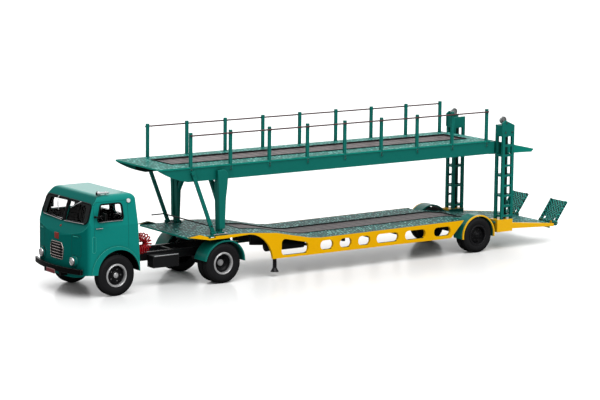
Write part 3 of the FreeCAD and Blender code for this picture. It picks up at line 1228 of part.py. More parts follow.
def front_axle():
    """A dropped beam under two leaf packs, with an eye for the king pin at each end."""
    z = "tyre_rad"
    beam = slab("front_beam", "YZ", [
        ("-steer_y", f"{z} - beam_eye_tall / 2"), ("-steer_y + 1.8", f"{z} - beam_eye_tall / 2"),
        ("-steer_y + 4", f"{z} - beam_eye_tall / 2 - 1.6"),
        ("-steer_y + 5", f"{z} - 3.4"), ("steer_y - 5", f"{z} - 3.4"),
        ("steer_y - 4", f"{z} - beam_eye_tall / 2 - 1.6"),
        ("steer_y - 1.8", f"{z} - beam_eye_tall / 2"), ("steer_y", f"{z} - beam_eye_tall / 2"),
        ("steer_y", f"{z} + beam_eye_tall / 2"), ("steer_y - 3", f"{z} + beam_eye_tall / 2 - 0.4"),
        ("steer_y - 5.5", f"{z} - 1.5"), ("-steer_y + 5.5", f"{z} - 1.5"),
        ("-steer_y + 3", f"{z} + beam_eye_tall / 2 - 0.4"), ("-steer_y", f"{z} + beam_eye_tall / 2"),
    ], "front_axle_x", 1.8)
    pieces = [beam]
    holes = []
    for side, y in (("left", "-steer_y"), ("right", "steer_y")):
        pieces.append(rod(f"beam_eye_{side}", "Z", "front_axle_x", y,
                          "tyre_rad - beam_eye_tall / 2", "beam_eye_rad", "beam_eye_tall"))
        holes.append(rod(f"beam_hole_{side}", "Z", "front_axle_x", y, 0,
                         "steer_rad + fit_gap", 20))
        y = "-rail_y - 0.2" if side == "left" else "rail_y - rail_wide - 0.2"
        pieces.append(box(f"front_spring_{side}", "front_axle_x - 9", y, f"{z} - 1.7", 18,
                          "rail_wide + 0.4", "rail_top_z - rail_tall - tyre_rad + 1.7"))
    node(cut("front_axle_body", fuse("front_axle_solid", pieces), fuse("beam_holes", holes)),
         "front_axle_beam")


def knuckle(side, sign):
    """King pin with caps, an outer web and the stub axle that carries the wheel."""
    low = "tyre_rad - beam_eye_tall / 2 - fit_gap"
    high = "tyre_rad + beam_eye_tall / 2 + fit_gap"
    pieces = [rod(f"king_pin_{side}", "Z", "front_axle_x", f"{sign} * steer_y",
                  f"{low} - 1", "steer_rad", "beam_eye_tall + 2 * fit_gap + 2"),
              rod(f"king_cap_low_{side}", "Z", "front_axle_x", f"{sign} * steer_y",
                  f"{low} - 1.2", "beam_eye_rad", 1.2),
              rod(f"king_cap_high_{side}", "Z", "front_axle_x", f"{sign} * steer_y",
                  high, "beam_eye_rad", 1.2)]
    inner = "steer_y + beam_eye_rad + 2 * fit_gap"
    web_y = f"-1 * ( {inner} ) - 0.7" if sign == "-1" else inner
    pieces.append(box(f"knuckle_web_{side}", "front_axle_x - 1", web_y, f"{low} - 1.2", 2, 0.7,
                      "beam_eye_tall + 2 * fit_gap + 2.4"))
    for level, z in (("low", f"{low} - 1.2"), ("high", high)):
        y = f"-1 * ( {inner} ) - 0.1" if sign == "-1" else "steer_y"
        pieces.append(box(f"knuckle_bridge_{level}_{side}", "front_axle_x - 1", y, z, 2,
                          "beam_eye_rad + 2 * fit_gap + 0.1", 1.2))
    start = f"-1 * stub_end_y" if sign == "-1" else f"{inner} + 0.2"
    pieces.append(rod(f"stub_{side}", "Y", "front_axle_x", start, "tyre_rad", "stub_rad",
                      f"stub_end_y - ( {inner} ) - 0.2"))
    node(fuse(f"knuckle_body_{side}", pieces), f"knuckle_{side}")


def drive_axle():
    """Axle tube with a round final-drive case, leaf packs above and stubs for the wheels."""
    tube = rod("drive_tube", "Y", "drive_axle_x", "-drive_inner_y", "tyre_rad", "axle_rad",
               "2 * drive_inner_y")
    stub = rod("drive_stub", "Y", "drive_axle_x", "-drive_face_y + 3", "tyre_rad", "stub_rad",
               "2 * drive_face_y - 6")
    case = doc.addObject("Part::Sphere", "drive_case")
    bind(case, Radius="case_rad")
    seat(case, "drive_axle_x", 0, "tyre_rad")
    pieces = [tube, stub, case]
    for side, y in (("left", "-rail_y - 2.2"), ("right", "rail_y + 0.1")):
        pieces.append(box(f"drive_spring_{side}", "drive_axle_x - 9", y,
                          "tyre_rad + axle_rad - 0.3", 18, 2.1, 1.2))
    node(fuse("drive_axle_body", pieces), "drive_axle_housing")


def drive_fenders():
    """Arched sheets over the twin wheels, drawn out to the rear."""
    def at(x, z):
        return f"drive_axle_x + {x}", f"tyre_rad + {z}"
    outline = [
        at("( -1 * fender_front )", "fender_foot"), ("via", *at("( -0.77 * fender_front )", "0.63 * fender_top")),
        at("0.9", "fender_top"), ("via", *at("0.68 * fender_rear", "0.79 * fender_top")),
        at("fender_rear - 0.5", "fender_knee"), at("fender_rear", "0.4"),
        at("fender_rear - fender_skin", "0.4"), at("fender_rear - 0.5 - fender_skin", "fender_knee"),
        ("via", *at("0.68 * fender_rear - 0.66 * fender_skin", "0.79 * fender_top - 0.75 * fender_skin")),
        at("0.9", "fender_top - fender_skin"),
        ("via", *at("( -0.77 * fender_front + 0.76 * fender_skin )",
                    "0.63 * fender_top - 0.65 * fender_skin")),
        at("( fender_skin - fender_front )", "fender_foot")]
    half = slab("fender_left", "XZ", outline, "-1 * ( fender_face_y + fender_inner_y ) / 2",
                "fender_face_y - fender_inner_y")
    node(both_sides("fender_pair", half), "drive_fenders")


def fifth_wheel():
    """A round plate with a slot to the rear, on two side brackets over the rails."""
    disc = rod("coupling_disc", "Z", "kingpin_x", 0, "plate_top_z - 1.5", 9, 1.5)
    jaw = rod("coupling_jaw", "Z", "kingpin_x", 0, "plate_top_z - 3", "kingpin_rad + fit_gap", 4)
    slot = slab("coupling_slot", "XY", [
        ("kingpin_x + 1", "-kingpin_rad - 0.1"), ("kingpin_x + 10", -3.6), ("kingpin_x + 10", 3.6),
        ("kingpin_x + 1", "kingpin_rad + 0.1")], "plate_top_z - 1", 4)
    top = cut("coupling_top", disc, fuse("coupling_cuts", [jaw, slot]))
    pieces = [top]
    middle = "( rail_y - rail_wide / 2 - ( arm_seat + fit_gap ) / 2 )"
    for side, y in (("left", f"-1 * {middle}"), ("right", middle)):
        pieces.append(slab(f"coupling_bracket_{side}", "XZ", [
            ("kingpin_x - 6", "rail_top_z + fit_gap"), ("kingpin_x + 6", "rail_top_z + fit_gap"),
            ("kingpin_x + 2.6", "plate_top_z - 1.2"), ("kingpin_x - 2.6", "plate_top_z - 1.2")],
            y, "rail_wide - arm_seat - fit_gap"))
    node(fuse("coupling_body", pieces), "fifth_wheel")


def air_line():
    """The coiled line as one bundle: two arms from the cab wall and a half turn."""
    bend = doc.addObject("Part::Torus", "coil_bend_ring")
    bind(bend, Radius1="coil_bend", Radius2="coil_rad")
    bend.Angle3 = 180
    bend.Placement = Placement(Vector(), Rotation(Vector(0, 1, 0), 90) * Rotation(Vector(1, 0, 0), 90))
    seat(bend, "coil_x", "coil_y", "coil_z")
    pieces = [bend]
    for level, sign in (("low", "-"), ("high", "+")):
        pieces.append(rod(f"coil_arm_{level}", "X", "coil_start_x", "coil_y",
                          f"coil_z {sign} coil_bend", "coil_rad", "coil_x - coil_start_x"))
    node(fuse("coil_body", pieces), "air_coil")


# ---------------------------------------------------------------- wheels
def tyre_outline(sign, middle, wide, radius, bead):
    half = f"{wide} / 2"
    return [(f"{sign} * ( {middle} ) - {half} + 0.3", bead), (f"{sign} * ( {middle} ) + {half} - 0.3", bead),
            (f"{sign} * ( {middle} ) + {half}", f"{bead} + 1.4"),
            (f"{sign} * ( {middle} ) + {half} - 0.1", f"{radius} - 0.9"),
            (f"{sign} * ( {middle} ) + {half} - 0.9", radius),
            (f"{sign} * ( {middle} ) - {half} + 0.9", radius),
            (f"{sign} * ( {middle} ) - {half} + 0.1", f"{radius} - 0.9"),
            (f"{sign} * ( {middle} ) - {half}", f"{bead} + 1.4")]


def wheel_set(label, axle, radius, bead, face, wide, twin, rim_dish, hub_out):
    """Tyres and a dished rim on each side of an axle."""
    for side, sign in (("left", "-1"), ("right", "1")):
        middles = [f"{face} - {wide} / 2"]
        if twin:
            middles.append(f"{face} - 1.5 * {wide} - twin_gap")
        rings = [turned(f"{label}_tyre_{side}_{number}",
                        tyre_outline(sign, middle, wide, radius, bead), axle, 0, radius)
                 for number, middle in enumerate(middles)]
        tyres = together(f"{label}_tyres_{side}", rings) if twin else rings[0]
        node(tyres, f"{label}_tyre{'s' if twin else ''}_{side}")
        inner = f"{face} - {wide} * {2 if twin else 1}" + (" - twin_gap" if twin else "")
        dish = f"{face} - {rim_dish}"

        def at(y, rim_radius):
            return (f"{sign} * ( {y} )", rim_radius)
        outline = [at(f"{inner} + 0.4", f"{bead} - fit_gap"), at(f"{inner} + 0.4", f"{bead} - 0.8"),
                   at(f"{dish} - 0.9", f"{bead} - 0.8"), at(f"{dish} - 0.9", "stub_rad + 1"),
                   at(f"{dish} - 2.6", "stub_rad + 1"), at(f"{dish} - 2.6", "stub_rad + fit_gap"),
                   at(f"{face} + {hub_out} - 0.8", "stub_rad + fit_gap"),
                   at(f"{face} + {hub_out} - 0.8", 0), at(f"{face} + {hub_out}", 0),
                   at(f"{face} + {hub_out}", 1.3), at(f"{face} + {hub_out} - 0.5", 1.8),
                   at(dish, 2.0), at(dish, f"{bead} - 1.4"), at(f"{face} - 0.5", f"{bead} - 0.7"),
                   at(f"{face} - 0.5", f"{bead} - fit_gap")]
        node(turned(f"{label}_rim_{side}_body", outline, axle, 0, radius), f"{label}_rim_{side}")


# ---------------------------------------------------------------- ramps
def ramp(side):
    """A plate with side flanges on the tail's hinge rod, parked leaning back."""
    y = ramp_edge(side)
    sheet_metal = box(f"ramp_sheet_{side}", "-ramp_plate / 2", y, 1.2, "ramp_plate", "ramp_wide",
                      "ramp_long - 1.2")
    pieces = [sheet_metal]
    for number, start in enumerate((y, f"{y} + ramp_wide - 0.8")):
        pieces.append(box(f"ramp_flange_{side}_{number}", "-hinge_rad - 0.5", start, 0,
                          "hinge_rad + 0.5 + ramp_plate / 2", 0.8, "ramp_long"))
    pieces.append(rod(f"ramp_eye_{side}", "Y", 0, y, 0, "hinge_rad + 0.8", "ramp_wide"))
    tools = [rod(f"ramp_bore_{side}", "Y", 0, f"{y} - 1", 0, "hinge_rad + fit_gap", "ramp_wide + 2")]
    for lug, lug_y in lug_places(side):
        tools.append(rod(f"ramp_notch_{lug}_{side}", "Y", 0, f"{lug_y} - run_gap", 0, "lug_swing",
                         "lug_wide + 2 * run_gap"))
    body = cut(f"ramp_body_{side}", fuse(f"ramp_solid_{side}", pieces), fuse(f"ramp_cuts_{side}", tools))
    body.Placement = Placement(Vector(size("hinge_x"), 0, size("hinge_z")),
                               Rotation(Vector(0, 1, 0), size("ramp_lean")))
    seat(body, "hinge_x", 0, "hinge_z")
    body.setExpression("Placement.Rotation.Angle", "sizes.ramp_lean")
    node(body, f"ramp_{side}")


# ---------------------------------------------------------------- build and export
lower_deck()
side_frame()
deck_mesh()
underframe()
kingpin()
air_tank()
landing_legs()
trailer_axle()
trailer_fender()
tail_frame()
tower()
tower_guide()
upper_deck()
upper_beams()
posts_and_wires()
portal()
struts()
winch_shaft()
cab()
cab_interior()
grille()
cab_face = cab_form("cab_face", "( -1 * fit_gap )")
front_lamps(cab_face)
front_bumper()
mirrors(cab_face)
horns(cab_face)
chassis()
side_boxes()
front_axle()
knuckle("left", "-1")
knuckle("right", "1")
drive_axle()
drive_fenders()
fifth_wheel()
air_line()
wheel_set("front", "front_axle_x", "tyre_rad", "rim_rad", "front_face_y", "tyre_wide", False, 1.6, 0.4)
wheel_set("drive", "drive_axle_x", "tyre_rad", "rim_rad", "drive_face_y", "twin_wide", True, 2.6, 0.9)
wheel_set("trailer", "trailer_axle_x", "trailer_tyre_rad", "trailer_rim_rad", "trailer_face_y",
          "trailer_tyre_wide", True, 2.0, 0.3)
ramp("left")
ramp("right")
doc.recompute()

faults = [thing.Label for thing in doc.Objects if {"Invalid", "Error"} & set(thing.State)]
for thing in nodes:
    if thing.Shape.isNull() or not thing.Shape.isValid() or not thing.Shape.Solids:
        faults.append(thing.Label)
if faults:
    raise RuntimeError("these failed: " + ", ".join(faults))

os.makedirs("parts", exist_ok=True)
for thing in nodes:
    thing.Shape.exportStep(f"parts/{thing.Label}.step")
    print(f"{thing.Label}: {len(thing.Shape.Solids)} solids, {thing.Shape.Volume:.1f} mm3")
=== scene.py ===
import math

import bpy
from mathutils import Matrix, Vector


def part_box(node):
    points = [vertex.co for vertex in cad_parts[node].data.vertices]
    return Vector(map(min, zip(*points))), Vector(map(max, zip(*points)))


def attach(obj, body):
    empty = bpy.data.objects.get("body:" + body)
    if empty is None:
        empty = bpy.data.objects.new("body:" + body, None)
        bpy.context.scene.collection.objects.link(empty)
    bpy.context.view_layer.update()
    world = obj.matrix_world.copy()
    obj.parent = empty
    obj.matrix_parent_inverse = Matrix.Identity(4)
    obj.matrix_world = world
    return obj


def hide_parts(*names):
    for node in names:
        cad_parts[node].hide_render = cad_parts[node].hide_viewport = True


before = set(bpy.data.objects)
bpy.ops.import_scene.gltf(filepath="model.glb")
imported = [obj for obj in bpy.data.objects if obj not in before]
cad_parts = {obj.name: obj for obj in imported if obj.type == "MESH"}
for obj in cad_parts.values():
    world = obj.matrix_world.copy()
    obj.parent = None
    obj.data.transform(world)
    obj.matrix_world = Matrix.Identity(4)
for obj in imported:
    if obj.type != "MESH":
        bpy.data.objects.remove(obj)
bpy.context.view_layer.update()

# ------------------------------------------------------------------ studio
# The camera stands low at the front left corner and looks along the whole lorry.  A white floor, a
# sky that is brighter overhead and one very wide sun give the soft light of a product table.
camera_place, focal_length = (-0.749015, -1.047688, 0.240977), 149.74
yaw, pitch, roll = -0.616, 0.160, 0.0109
ahead = Vector((-math.sin(yaw) * math.cos(pitch), math.cos(yaw) * math.cos(pitch), -math.sin(pitch)))
right = Vector((math.cos(yaw), math.sin(yaw), 0))
up = right.cross(ahead)
camera = bpy.data.objects.new("camera", bpy.data.cameras.new("camera"))
bpy.context.collection.objects.link(camera)
camera.data.sensor_width = 36
camera.data.lens = focal_length
camera.data.clip_start, camera.data.clip_end = 0.05, 20
camera.matrix_world = Matrix.Translation(camera_place) @ Matrix(
    (right * math.cos(roll) + up * math.sin(roll), up * math.cos(roll) - right * math.sin(roll),
     -ahead)).transposed().to_4x4()
bpy.context.scene.camera = camera
bpy.context.scene.view_settings.view_transform = "Standard"

bpy.ops.mesh.primitive_plane_add(size=14, location=(0, 0, 0))
floor = bpy.context.object
floor.name = "floor"


def wire(tree, step, inputs):
    """Gives a shader node's inputs, by name or number, a value or another node's output."""
    for key, given in inputs.items():
        if isinstance(given, bpy.types.NodeSocket):
            tree.links.new(given, step.inputs[key])
        elif step.inputs[key].type == "RGBA":
            step.inputs[key].default_value = (*given, 1)
        else:
            step.inputs[key].default_value = given
    return step


def shade_step(tree, kind, inputs=None, **settings):
    """A new shader node with its settings made and its inputs wired."""
    step = tree.nodes.new("ShaderNode" + kind)
    for name, value in settings.items():
        setattr(step, name, value)
    return wire(tree, step, inputs or {})


def math_step(tree, operation, *inputs):
    """The output of a Math node."""
    return shade_step(tree, "Math", dict(enumerate(inputs)), operation=operation).outputs[0]


def vector_step(tree, operation, *inputs):
    """The outputs of a Vector Math node, "Vector" and "Value"."""
    return shade_step(tree, "VectorMath", dict(enumerate(inputs)), operation=operation).outputs


def spread(tree, value, low=0.0, high=1.0, at_low=0.0, at_high=1.0, how="LINEAR"):
    """A value's range from low to high spread over at_low to at_high."""
    inputs = {"Value": value, "From Min": low, "From Max": high, "To Min": at_low, "To Max": at_high}
    return shade_step(tree, "MapRange", inputs, interpolation_type=how).outputs["Result"]


def surface(tree, which="Object"):
    """The place of a surface, or by name its "Normal" or, in the sky, the "Generated" direction."""
    return shade_step(tree, "TexCoord").outputs[which]


def parted(tree, vector):
    """The "X", "Y" and "Z" of a place or normal."""
    return shade_step(tree, "SeparateXYZ", {0: vector}).outputs


# Looked at, or seen through glass, the floor is a soft glossy white.  The light that it bounces on the
# lorry is dimmer, and its mirror image in the paint dimmer again.
floor_white = bpy.data.materials.new("floor_white")
floor_white.use_nodes = True
tree = floor_white.node_tree
gloss = wire(tree, tree.nodes["Principled BSDF"],
             {"Base Color": (0.93, 0.93, 0.93), "Roughness": 0.22, "Specular IOR Level": 0.12})
ray = shade_step(tree, "LightPath").outputs
dimmed = spread(tree, ray["Is Glossy Ray"], at_low=0.45, at_high=0.12)
bounce = shade_step(tree, "BsdfDiffuse", {"Color": dimmed})
looked_at = math_step(tree, "MAXIMUM", ray["Is Camera Ray"], ray["Is Transmission Ray"])
choice = shade_step(tree, "MixShader", {0: looked_at, 1: bounce.outputs[0], 2: gloss.outputs[0]})
wire(tree, tree.nodes["Material Output"], {"Surface": choice.outputs[0]})
floor.data.materials.append(floor_white)

# Two glows lie in the sky, a wide one beyond the rear right corner and a narrow one before the front
# left.  Each has a direction, the cosines where it starts and where it is full, and its strength.
sky_glows = (((0.577, 0.814, 0.05), 0.30, 0.85, 1.0), ((-0.80, -0.57, 0.16), 0.955, 0.99, 0.9))
world = bpy.data.worlds.new("studio")
bpy.context.scene.world = world
world.use_nodes = True
tree = world.node_tree
direction = surface(tree, "Generated")
brightness = spread(tree, parted(tree, direction)["Z"], at_low=0.20, at_high=1.15)
for toward, starts, full, strength in sky_glows:
    nearness = vector_step(tree, "DOT_PRODUCT", direction, toward)["Value"]
    glow = spread(tree, nearness, starts, full, at_high=strength, how="SMOOTHSTEP")
    brightness = math_step(tree, "ADD", brightness, glow)
wire(tree, tree.nodes["Background"], {"Color": (1, 1, 1), "Strength": brightness})

sun = bpy.data.objects.new("sun", bpy.data.lights.new("sun", "SUN"))
bpy.context.collection.objects.link(sun)
sun.data.energy = 1.9
sun.data.angle = math.radians(50)
sun.matrix_world = Vector((-0.16, -0.60, 1.0)).to_track_quat("Z", "Y").to_matrix().to_4x4()

# ------------------------------------------------------------------ lower deck
# One folded steel plate from the gooseneck to the tail, rolled with a raised lozenge tread and
# painted teal.  The ground between the lozenges is darkened as painted shade.  The lozenge tops and
# the plate's edges are lighter, partly wear from tyres and partly painted highlight and glint.
mm = 0.001
teal, teal_light = (0.004, 0.215, 0.165), (0.03, 0.36, 0.29)
tread_pitch, tread_height = 1.35 * mm, 0.10 * mm


def blend(tree, share, first, second, way="MIX"):
    """Two colours mixed by a share of the second."""
    inputs = {0: share, 6: first, 7: second}
    return shade_step(tree, "Mix", inputs, data_type="RGBA", blend_type=way).outputs[2]


def ramp(tree, value, first, last, *between):
    """A value turned to a colour by steps of (position, colour)."""
    step = shade_step(tree, "ValToRGB", {"Fac": value})
    tones = step.color_ramp.elements
    for tone, (position, colour) in zip(tones, (first, last)):
        tone.position, tone.color = position, (*colour, 1)
    for position, colour in between:
        tones.new(position).color = (*colour, 1)
    return step.outputs["Color"]


def edge_wear_light_and_shade():
    """Node group: a colour lighter along edges, partly wear and partly painted highlight, darker in corners
    as painted shade, a little mottled, and a relief.
    """
    group = bpy.data.node_groups.new("edge_wear_light_and_shade", "ShaderNodeTree")
    for name, kind in (("Colour", "Color"), ("Edge Colour", "Color"), ("Edge Width", "Float"),
                       ("Mottle", "Float"), ("Grain Scale", "Float")):
        group.interface.new_socket(name, in_out="INPUT", socket_type="NodeSocket" + kind)
    for name, kind in (("Colour", "Color"), ("Relief", "Float")):
        group.interface.new_socket(name, in_out="OUTPUT", socket_type="NodeSocket" + kind)
    given, put = group.nodes.new("NodeGroupInput").outputs, group.nodes.new("NodeGroupOutput")
    # Edges mix toward the edge colour: partly wear, partly a painted highlight.
    softened = shade_step(group, "Bevel", {"Radius": given["Edge Width"]}, samples=4).outputs["Normal"]
    true_normal = shade_step(group, "NewGeometry").outputs["Normal"]
    likeness = vector_step(group, "DOT_PRODUCT", softened, true_normal)["Value"]
    edged = blend(group, spread(group, likeness, 0.995, 0.86), given["Colour"], given["Edge Colour"])
    grain = shade_step(group, "TexNoise", {"Vector": surface(group), "Scale": given["Grain Scale"],
                                           "Detail": 3}).outputs["Fac"]
    mottle = math_step(group, "MULTIPLY", math_step(group, "SUBTRACT", grain, 0.5), given["Mottle"])
    # Ambient occlusion darkens corners and recesses: painted shade where shade would fall.
    openness = shade_step(group, "AmbientOcclusion", {"Distance": 0.006}, samples=4).outputs["AO"]
    painted_corner_shade = spread(group, openness, 0.15, 0.95, at_low=0.38)
    shade = math_step(group, "MULTIPLY", math_step(group, "ADD", mottle, 1), painted_corner_shade)
    shaded = shade_step(group, "VectorMath", {0: edged, "Scale": shade}, operation="SCALE")
    wire(group, put, {"Colour": shaded.outputs["Vector"], "Relief": grain})
    return group


edge_group = edge_wear_light_and_shade()


def finish_of(name, colour, edge_colour, rough, edge_width=0.25, mottle=0.12, relief=0.015, grain=900,
              metallic=0.0, coat=0.0, specular=0.14):
    """A painted, moulded or metal finish with lighter edges, partly wear and partly painted highlight, and
    corners darkened as painted shade; its edge width and relief in millimetres.
    """
    material = bpy.data.materials.new(name)
    material.use_nodes = True
    tree = material.node_tree
    wear_and_light = tree.nodes.new("ShaderNodeGroup")
    wear_and_light.name, wear_and_light.node_tree = "wear_and_light", edge_group
    wire(tree, wear_and_light, {"Colour": colour, "Edge Colour": edge_colour, "Edge Width": edge_width * mm,
                      "Mottle": mottle, "Grain Scale": grain})
    rounded_edge = shade_step(tree, "Bevel", {"Radius": 0.12 * mm}, samples=4).outputs["Normal"]
    bump = shade_step(tree, "Bump", {"Strength": 0.3, "Distance": relief * mm, "Normal": rounded_edge,
                                     "Height": wear_and_light.outputs["Relief"]})
    wire(tree, tree.nodes["Principled BSDF"],
         {"Base Color": wear_and_light.outputs["Colour"], "Normal": bump.outputs["Normal"], "Roughness": rough,
          "Metallic": metallic, "Coat Weight": coat, "Coat Roughness": 0.12, "Specular IOR Level": specular})
    return material


def patterned(material, colour, relief=None):
    """Gives a finish the colour of a pattern and, if there is one, the relief of a Bump node."""
    tree = material.node_tree
    wire(tree, tree.nodes["wear_and_light"], {"Colour": colour})
    if relief:
        wire(tree, tree.nodes["Principled BSDF"], {"Normal": relief.outputs["Normal"]})


def give(material, *cad_nodes):
    """Puts a material on CAD nodes."""
    for name in cad_nodes:
        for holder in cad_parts[name].material_slots:
            holder.material = material


def tread_plate(name, ground, lozenge, scuff_and_glint):
    """Teal tread plate: slanting lozenges, some lighter for scuffs and painted glints, on a ground darkened
    as painted shade; its sides are plain.
    """
    material = finish_of(name, teal, teal_light, 0.42, edge_width=0.3, specular=0.04)
    tree = material.node_tree
    slanted = shade_step(tree, "Mapping", {"Vector": surface(tree), "Rotation": (0, 0, math.radians(35)),
                                           "Scale": (1, 0.65, 0)}).outputs["Vector"]
    away = shade_step(tree, "TexVoronoi", {"Vector": slanted, "Scale": 1 / tread_pitch,
                                           "Randomness": 0.6}).outputs["Distance"]
    # The lozenge tops are lighter and some lighter still, partly scuffs and partly painted glints; the ground
    # between them is darkest, painted shade in the recesses.
    scuff_and_glint_noise = shade_step(tree, "TexNoise", {"Vector": surface(tree), "Scale": 260, "Detail": 5})
    glint_and_shade = math_step(tree, "MULTIPLY_ADD", scuff_and_glint_noise.outputs["Fac"], 0.45, away)
    tones = ramp(tree, glint_and_shade, (0.38, scuff_and_glint), (0.70, ground), (0.52, lozenge))
    upward = parted(tree, shade_step(tree, "NewGeometry").outputs["Normal"])["Z"]
    lying = math_step(tree, "GREATER_THAN", upward, 0.6)
    relief = shade_step(tree, "Bump", {"Strength": 0.5, "Distance": tread_height, "Height": away},
                        invert=True)
    patterned(material, blend(tree, lying, teal, tones), relief)
    return material


deck_tread = tread_plate("deck_tread", (0.001, 0.060, 0.054), (0.022, 0.31, 0.265), (0.48, 0.78, 0.73))
give(deck_tread, "lower_deck")

# ------------------------------------------------------------------ deck mesh
# Strips of expanded metal let into both decks.  From a step away they read as a warm grey with dark
# bars across, where the mesh lies on the cross members.
wave_span = 314  # a wave pattern's Scale is this over the spacing of its bands in millimetres
bar_spacing = 6.2
mesh_grey = finish_of("mesh_grey", (0.20, 0.17, 0.165), (0.5, 0.47, 0.46), 0.5, mottle=0.5, relief=0.06,
                      grain=1500)
tree = mesh_grey.node_tree
bars = shade_step(tree, "TexWave", {"Vector": surface(tree), "Scale": wave_span / bar_spacing,
                                    "Distortion": 0.6, "Detail Scale": 60},
                  wave_type="BANDS", bands_direction="X", wave_profile="SIN").outputs["Fac"]
holes = shade_step(tree, "TexVoronoi", {"Vector": surface(tree), "Scale": 700}).outputs["Distance"]
bar_tones = ramp(tree, bars, (0.02, (0.02, 0.02, 0.022)), (0.13, (0.105, 0.084, 0.084)))
hole_tones = ramp(tree, holes, (0.0, (0.12, 0.12, 0.13)), (0.6, (1, 1, 1)))
patterned(mesh_grey, blend(tree, 0.8, bar_tones, hole_tones, "MULTIPLY"))
give(mesh_grey, "deck_mesh")

# ------------------------------------------------------------------ mesh frames
# A thin black steel angle frames each opening and holds the mesh down.  The lower one is bent to the
# folds of its deck; the upper one is straight and heavier.
low_frame_half, high_frame_half, high_frame_z = 8.7, 9.65, 60.0
high_frame_front, high_frame_rear = -92.3, 94.9
deck_folds = [(-51.2, 24.05), (-38.55, 22.9), (-29.25, 20.9), (-18.45, 18.7), (-11.25, 18.0), (82.85, 18.6),
              (94.0, 17.2)]


def deselected():
    """Nothing selected and object mode, so that the next operator acts on the new piece alone."""
    if bpy.context.object and bpy.context.object.mode != "OBJECT":
        bpy.ops.object.mode_set(mode="OBJECT")
    bpy.ops.object.select_all(action="DESELECT")


def finished(piece, name, body, material, slot):
    """Names a piece, settles its place in its mesh, gives it its material and lets it ride."""
    deselected()
    piece.select_set(True)
    bpy.context.view_layer.objects.active = piece
    if piece.type != "MESH":
        bpy.ops.object.convert(target="MESH")
        piece = bpy.context.object
    for modifier in list(piece.modifiers):
        bpy.ops.object.modifier_apply(modifier=modifier.name)
    bpy.ops.object.transform_apply(location=True, rotation=True, scale=True)
    piece.name = piece.data.name = name
    piece.data.materials.clear()
    piece.data.materials.append(material)
    bpy.ops.object.shade_smooth_by_angle(angle=math.radians(35))
    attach(piece, body)
    return piece


def curve_piece(points, closed, **settings):
    """A curve object through points in metres, with its settings made."""
    curve = bpy.data.curves.new("curve", "CURVE")
    for name, value in settings.items():
        setattr(curve, name, value)
    spline = curve.splines.new("POLY")
    spline.points.add(len(points) - 1)
    for target, point in zip(spline.points, points):
        target.co = (*point, 1)
    spline.use_cyclic_u = closed
    piece = bpy.data.objects.new("curve", curve)
    bpy.context.collection.objects.link(piece)
    return piece


def bead(points, radius, closed=False, sides=2):
    """A round bead along points in metres, its radius in millimetres, as a curve object."""
    return curve_piece(points, closed, dimensions="3D", bevel_depth=radius * mm, bevel_resolution=sides,
                       use_fill_caps=True)


def joined(pieces):
    """Objects made meshes and joined to one."""
    deselected()
    for piece in pieces:
        piece.select_set(True)
    bpy.context.view_layer.objects.active = pieces[0]
    bpy.ops.object.convert(target="MESH")
    if len(pieces) > 1:
        bpy.ops.object.join()
    return bpy.context.object


frame_black = finish_of("frame_black", (0.006, 0.007, 0.008), (0.03, 0.035, 0.035), 0.45)
around = [Vector((x, -low_frame_half, z + 0.05)) * mm for x, z in deck_folds]
around += [Vector((x, low_frame_half, z + 0.05)) * mm for x, z in reversed(deck_folds)]
frames = [bead(around, 0.22, closed=True)]
around = [Vector((x, y * high_frame_half, high_frame_z)) * mm
          for x, y in ((high_frame_front, -1), (high_frame_rear, -1), (high_frame_rear, 1),
                       (high_frame_front, 1))]
frames.append(bead(around, 0.5, closed=True))
finished(joined(frames), "mesh_frames", "trailer", frame_black, "black_trim")

# ------------------------------------------------------------------ side frames and tail
# The trailer's deep side plates and tail beams are flame-cut steel in warm yellow, which varies a
# little toward orange.  The tail's inner faces and hinge end are dark green.  The side plates' tops
# are near black-green, and so are their inner faces, there as dark green paint with a painted shade
# under the deck.
frame_inner, tail_inner, hinge_from = 22.95, 18.0, 146.8


def near_middle(tree, place, limit):
    """A mask that is 1 within a limit of the lorry's middle line and 0 beyond."""
    return math_step(tree, "LESS_THAN", math_step(tree, "ABSOLUTE", place["Y"]), limit)


yellow_paint = finish_of("yellow_paint", (0.87, 0.43, 0.002), (0.96, 0.62, 0.02), 0.36, edge_width=0.3,
                         mottle=0.10, specular=0.035)
tree = yellow_paint.node_tree
# Inner faces and tops take a near black-green; on the inner faces it is dark green paint with a painted shade
# under the deck.
inner_face = near_middle(tree, parted(tree, surface(tree)), frame_inner * mm)
frame_top = math_step(tree, "GREATER_THAN", parted(tree, surface(tree, "Normal"))["Z"], 0.85)
blotches = shade_step(tree, "TexNoise", {"Vector": surface(tree), "Scale": 55}).outputs["Fac"]
yellow = blend(tree, blotches, (0.90, 0.50, 0.001), (0.82, 0.39, 0.001))
green_part = math_step(tree, "MAXIMUM", frame_top, inner_face)
patterned(yellow_paint, blend(tree, green_part, yellow, (0.004, 0.035, 0.03)))
give(yellow_paint, "side_frames")
tail_yellow = finish_of("tail_yellow", (0.80, 0.40, 0.004), (0.93, 0.62, 0.03), 0.33, edge_width=0.3,
                        coat=0.3)
tree = tail_yellow.node_tree
place = parted(tree, surface(tree))
hinge_end = math_step(tree, "GREATER_THAN", place["X"], hinge_from * mm)
inner_face = near_middle(tree, place, tail_inner * mm)
green_part = math_step(tree, "MAXIMUM", hinge_end, inner_face)
patterned(tail_yellow, blend(tree, green_part, (0.90, 0.48, 0.001), (0.003, 0.10, 0.08)))
give(tail_yellow, "tail_frame", "fender_bands")

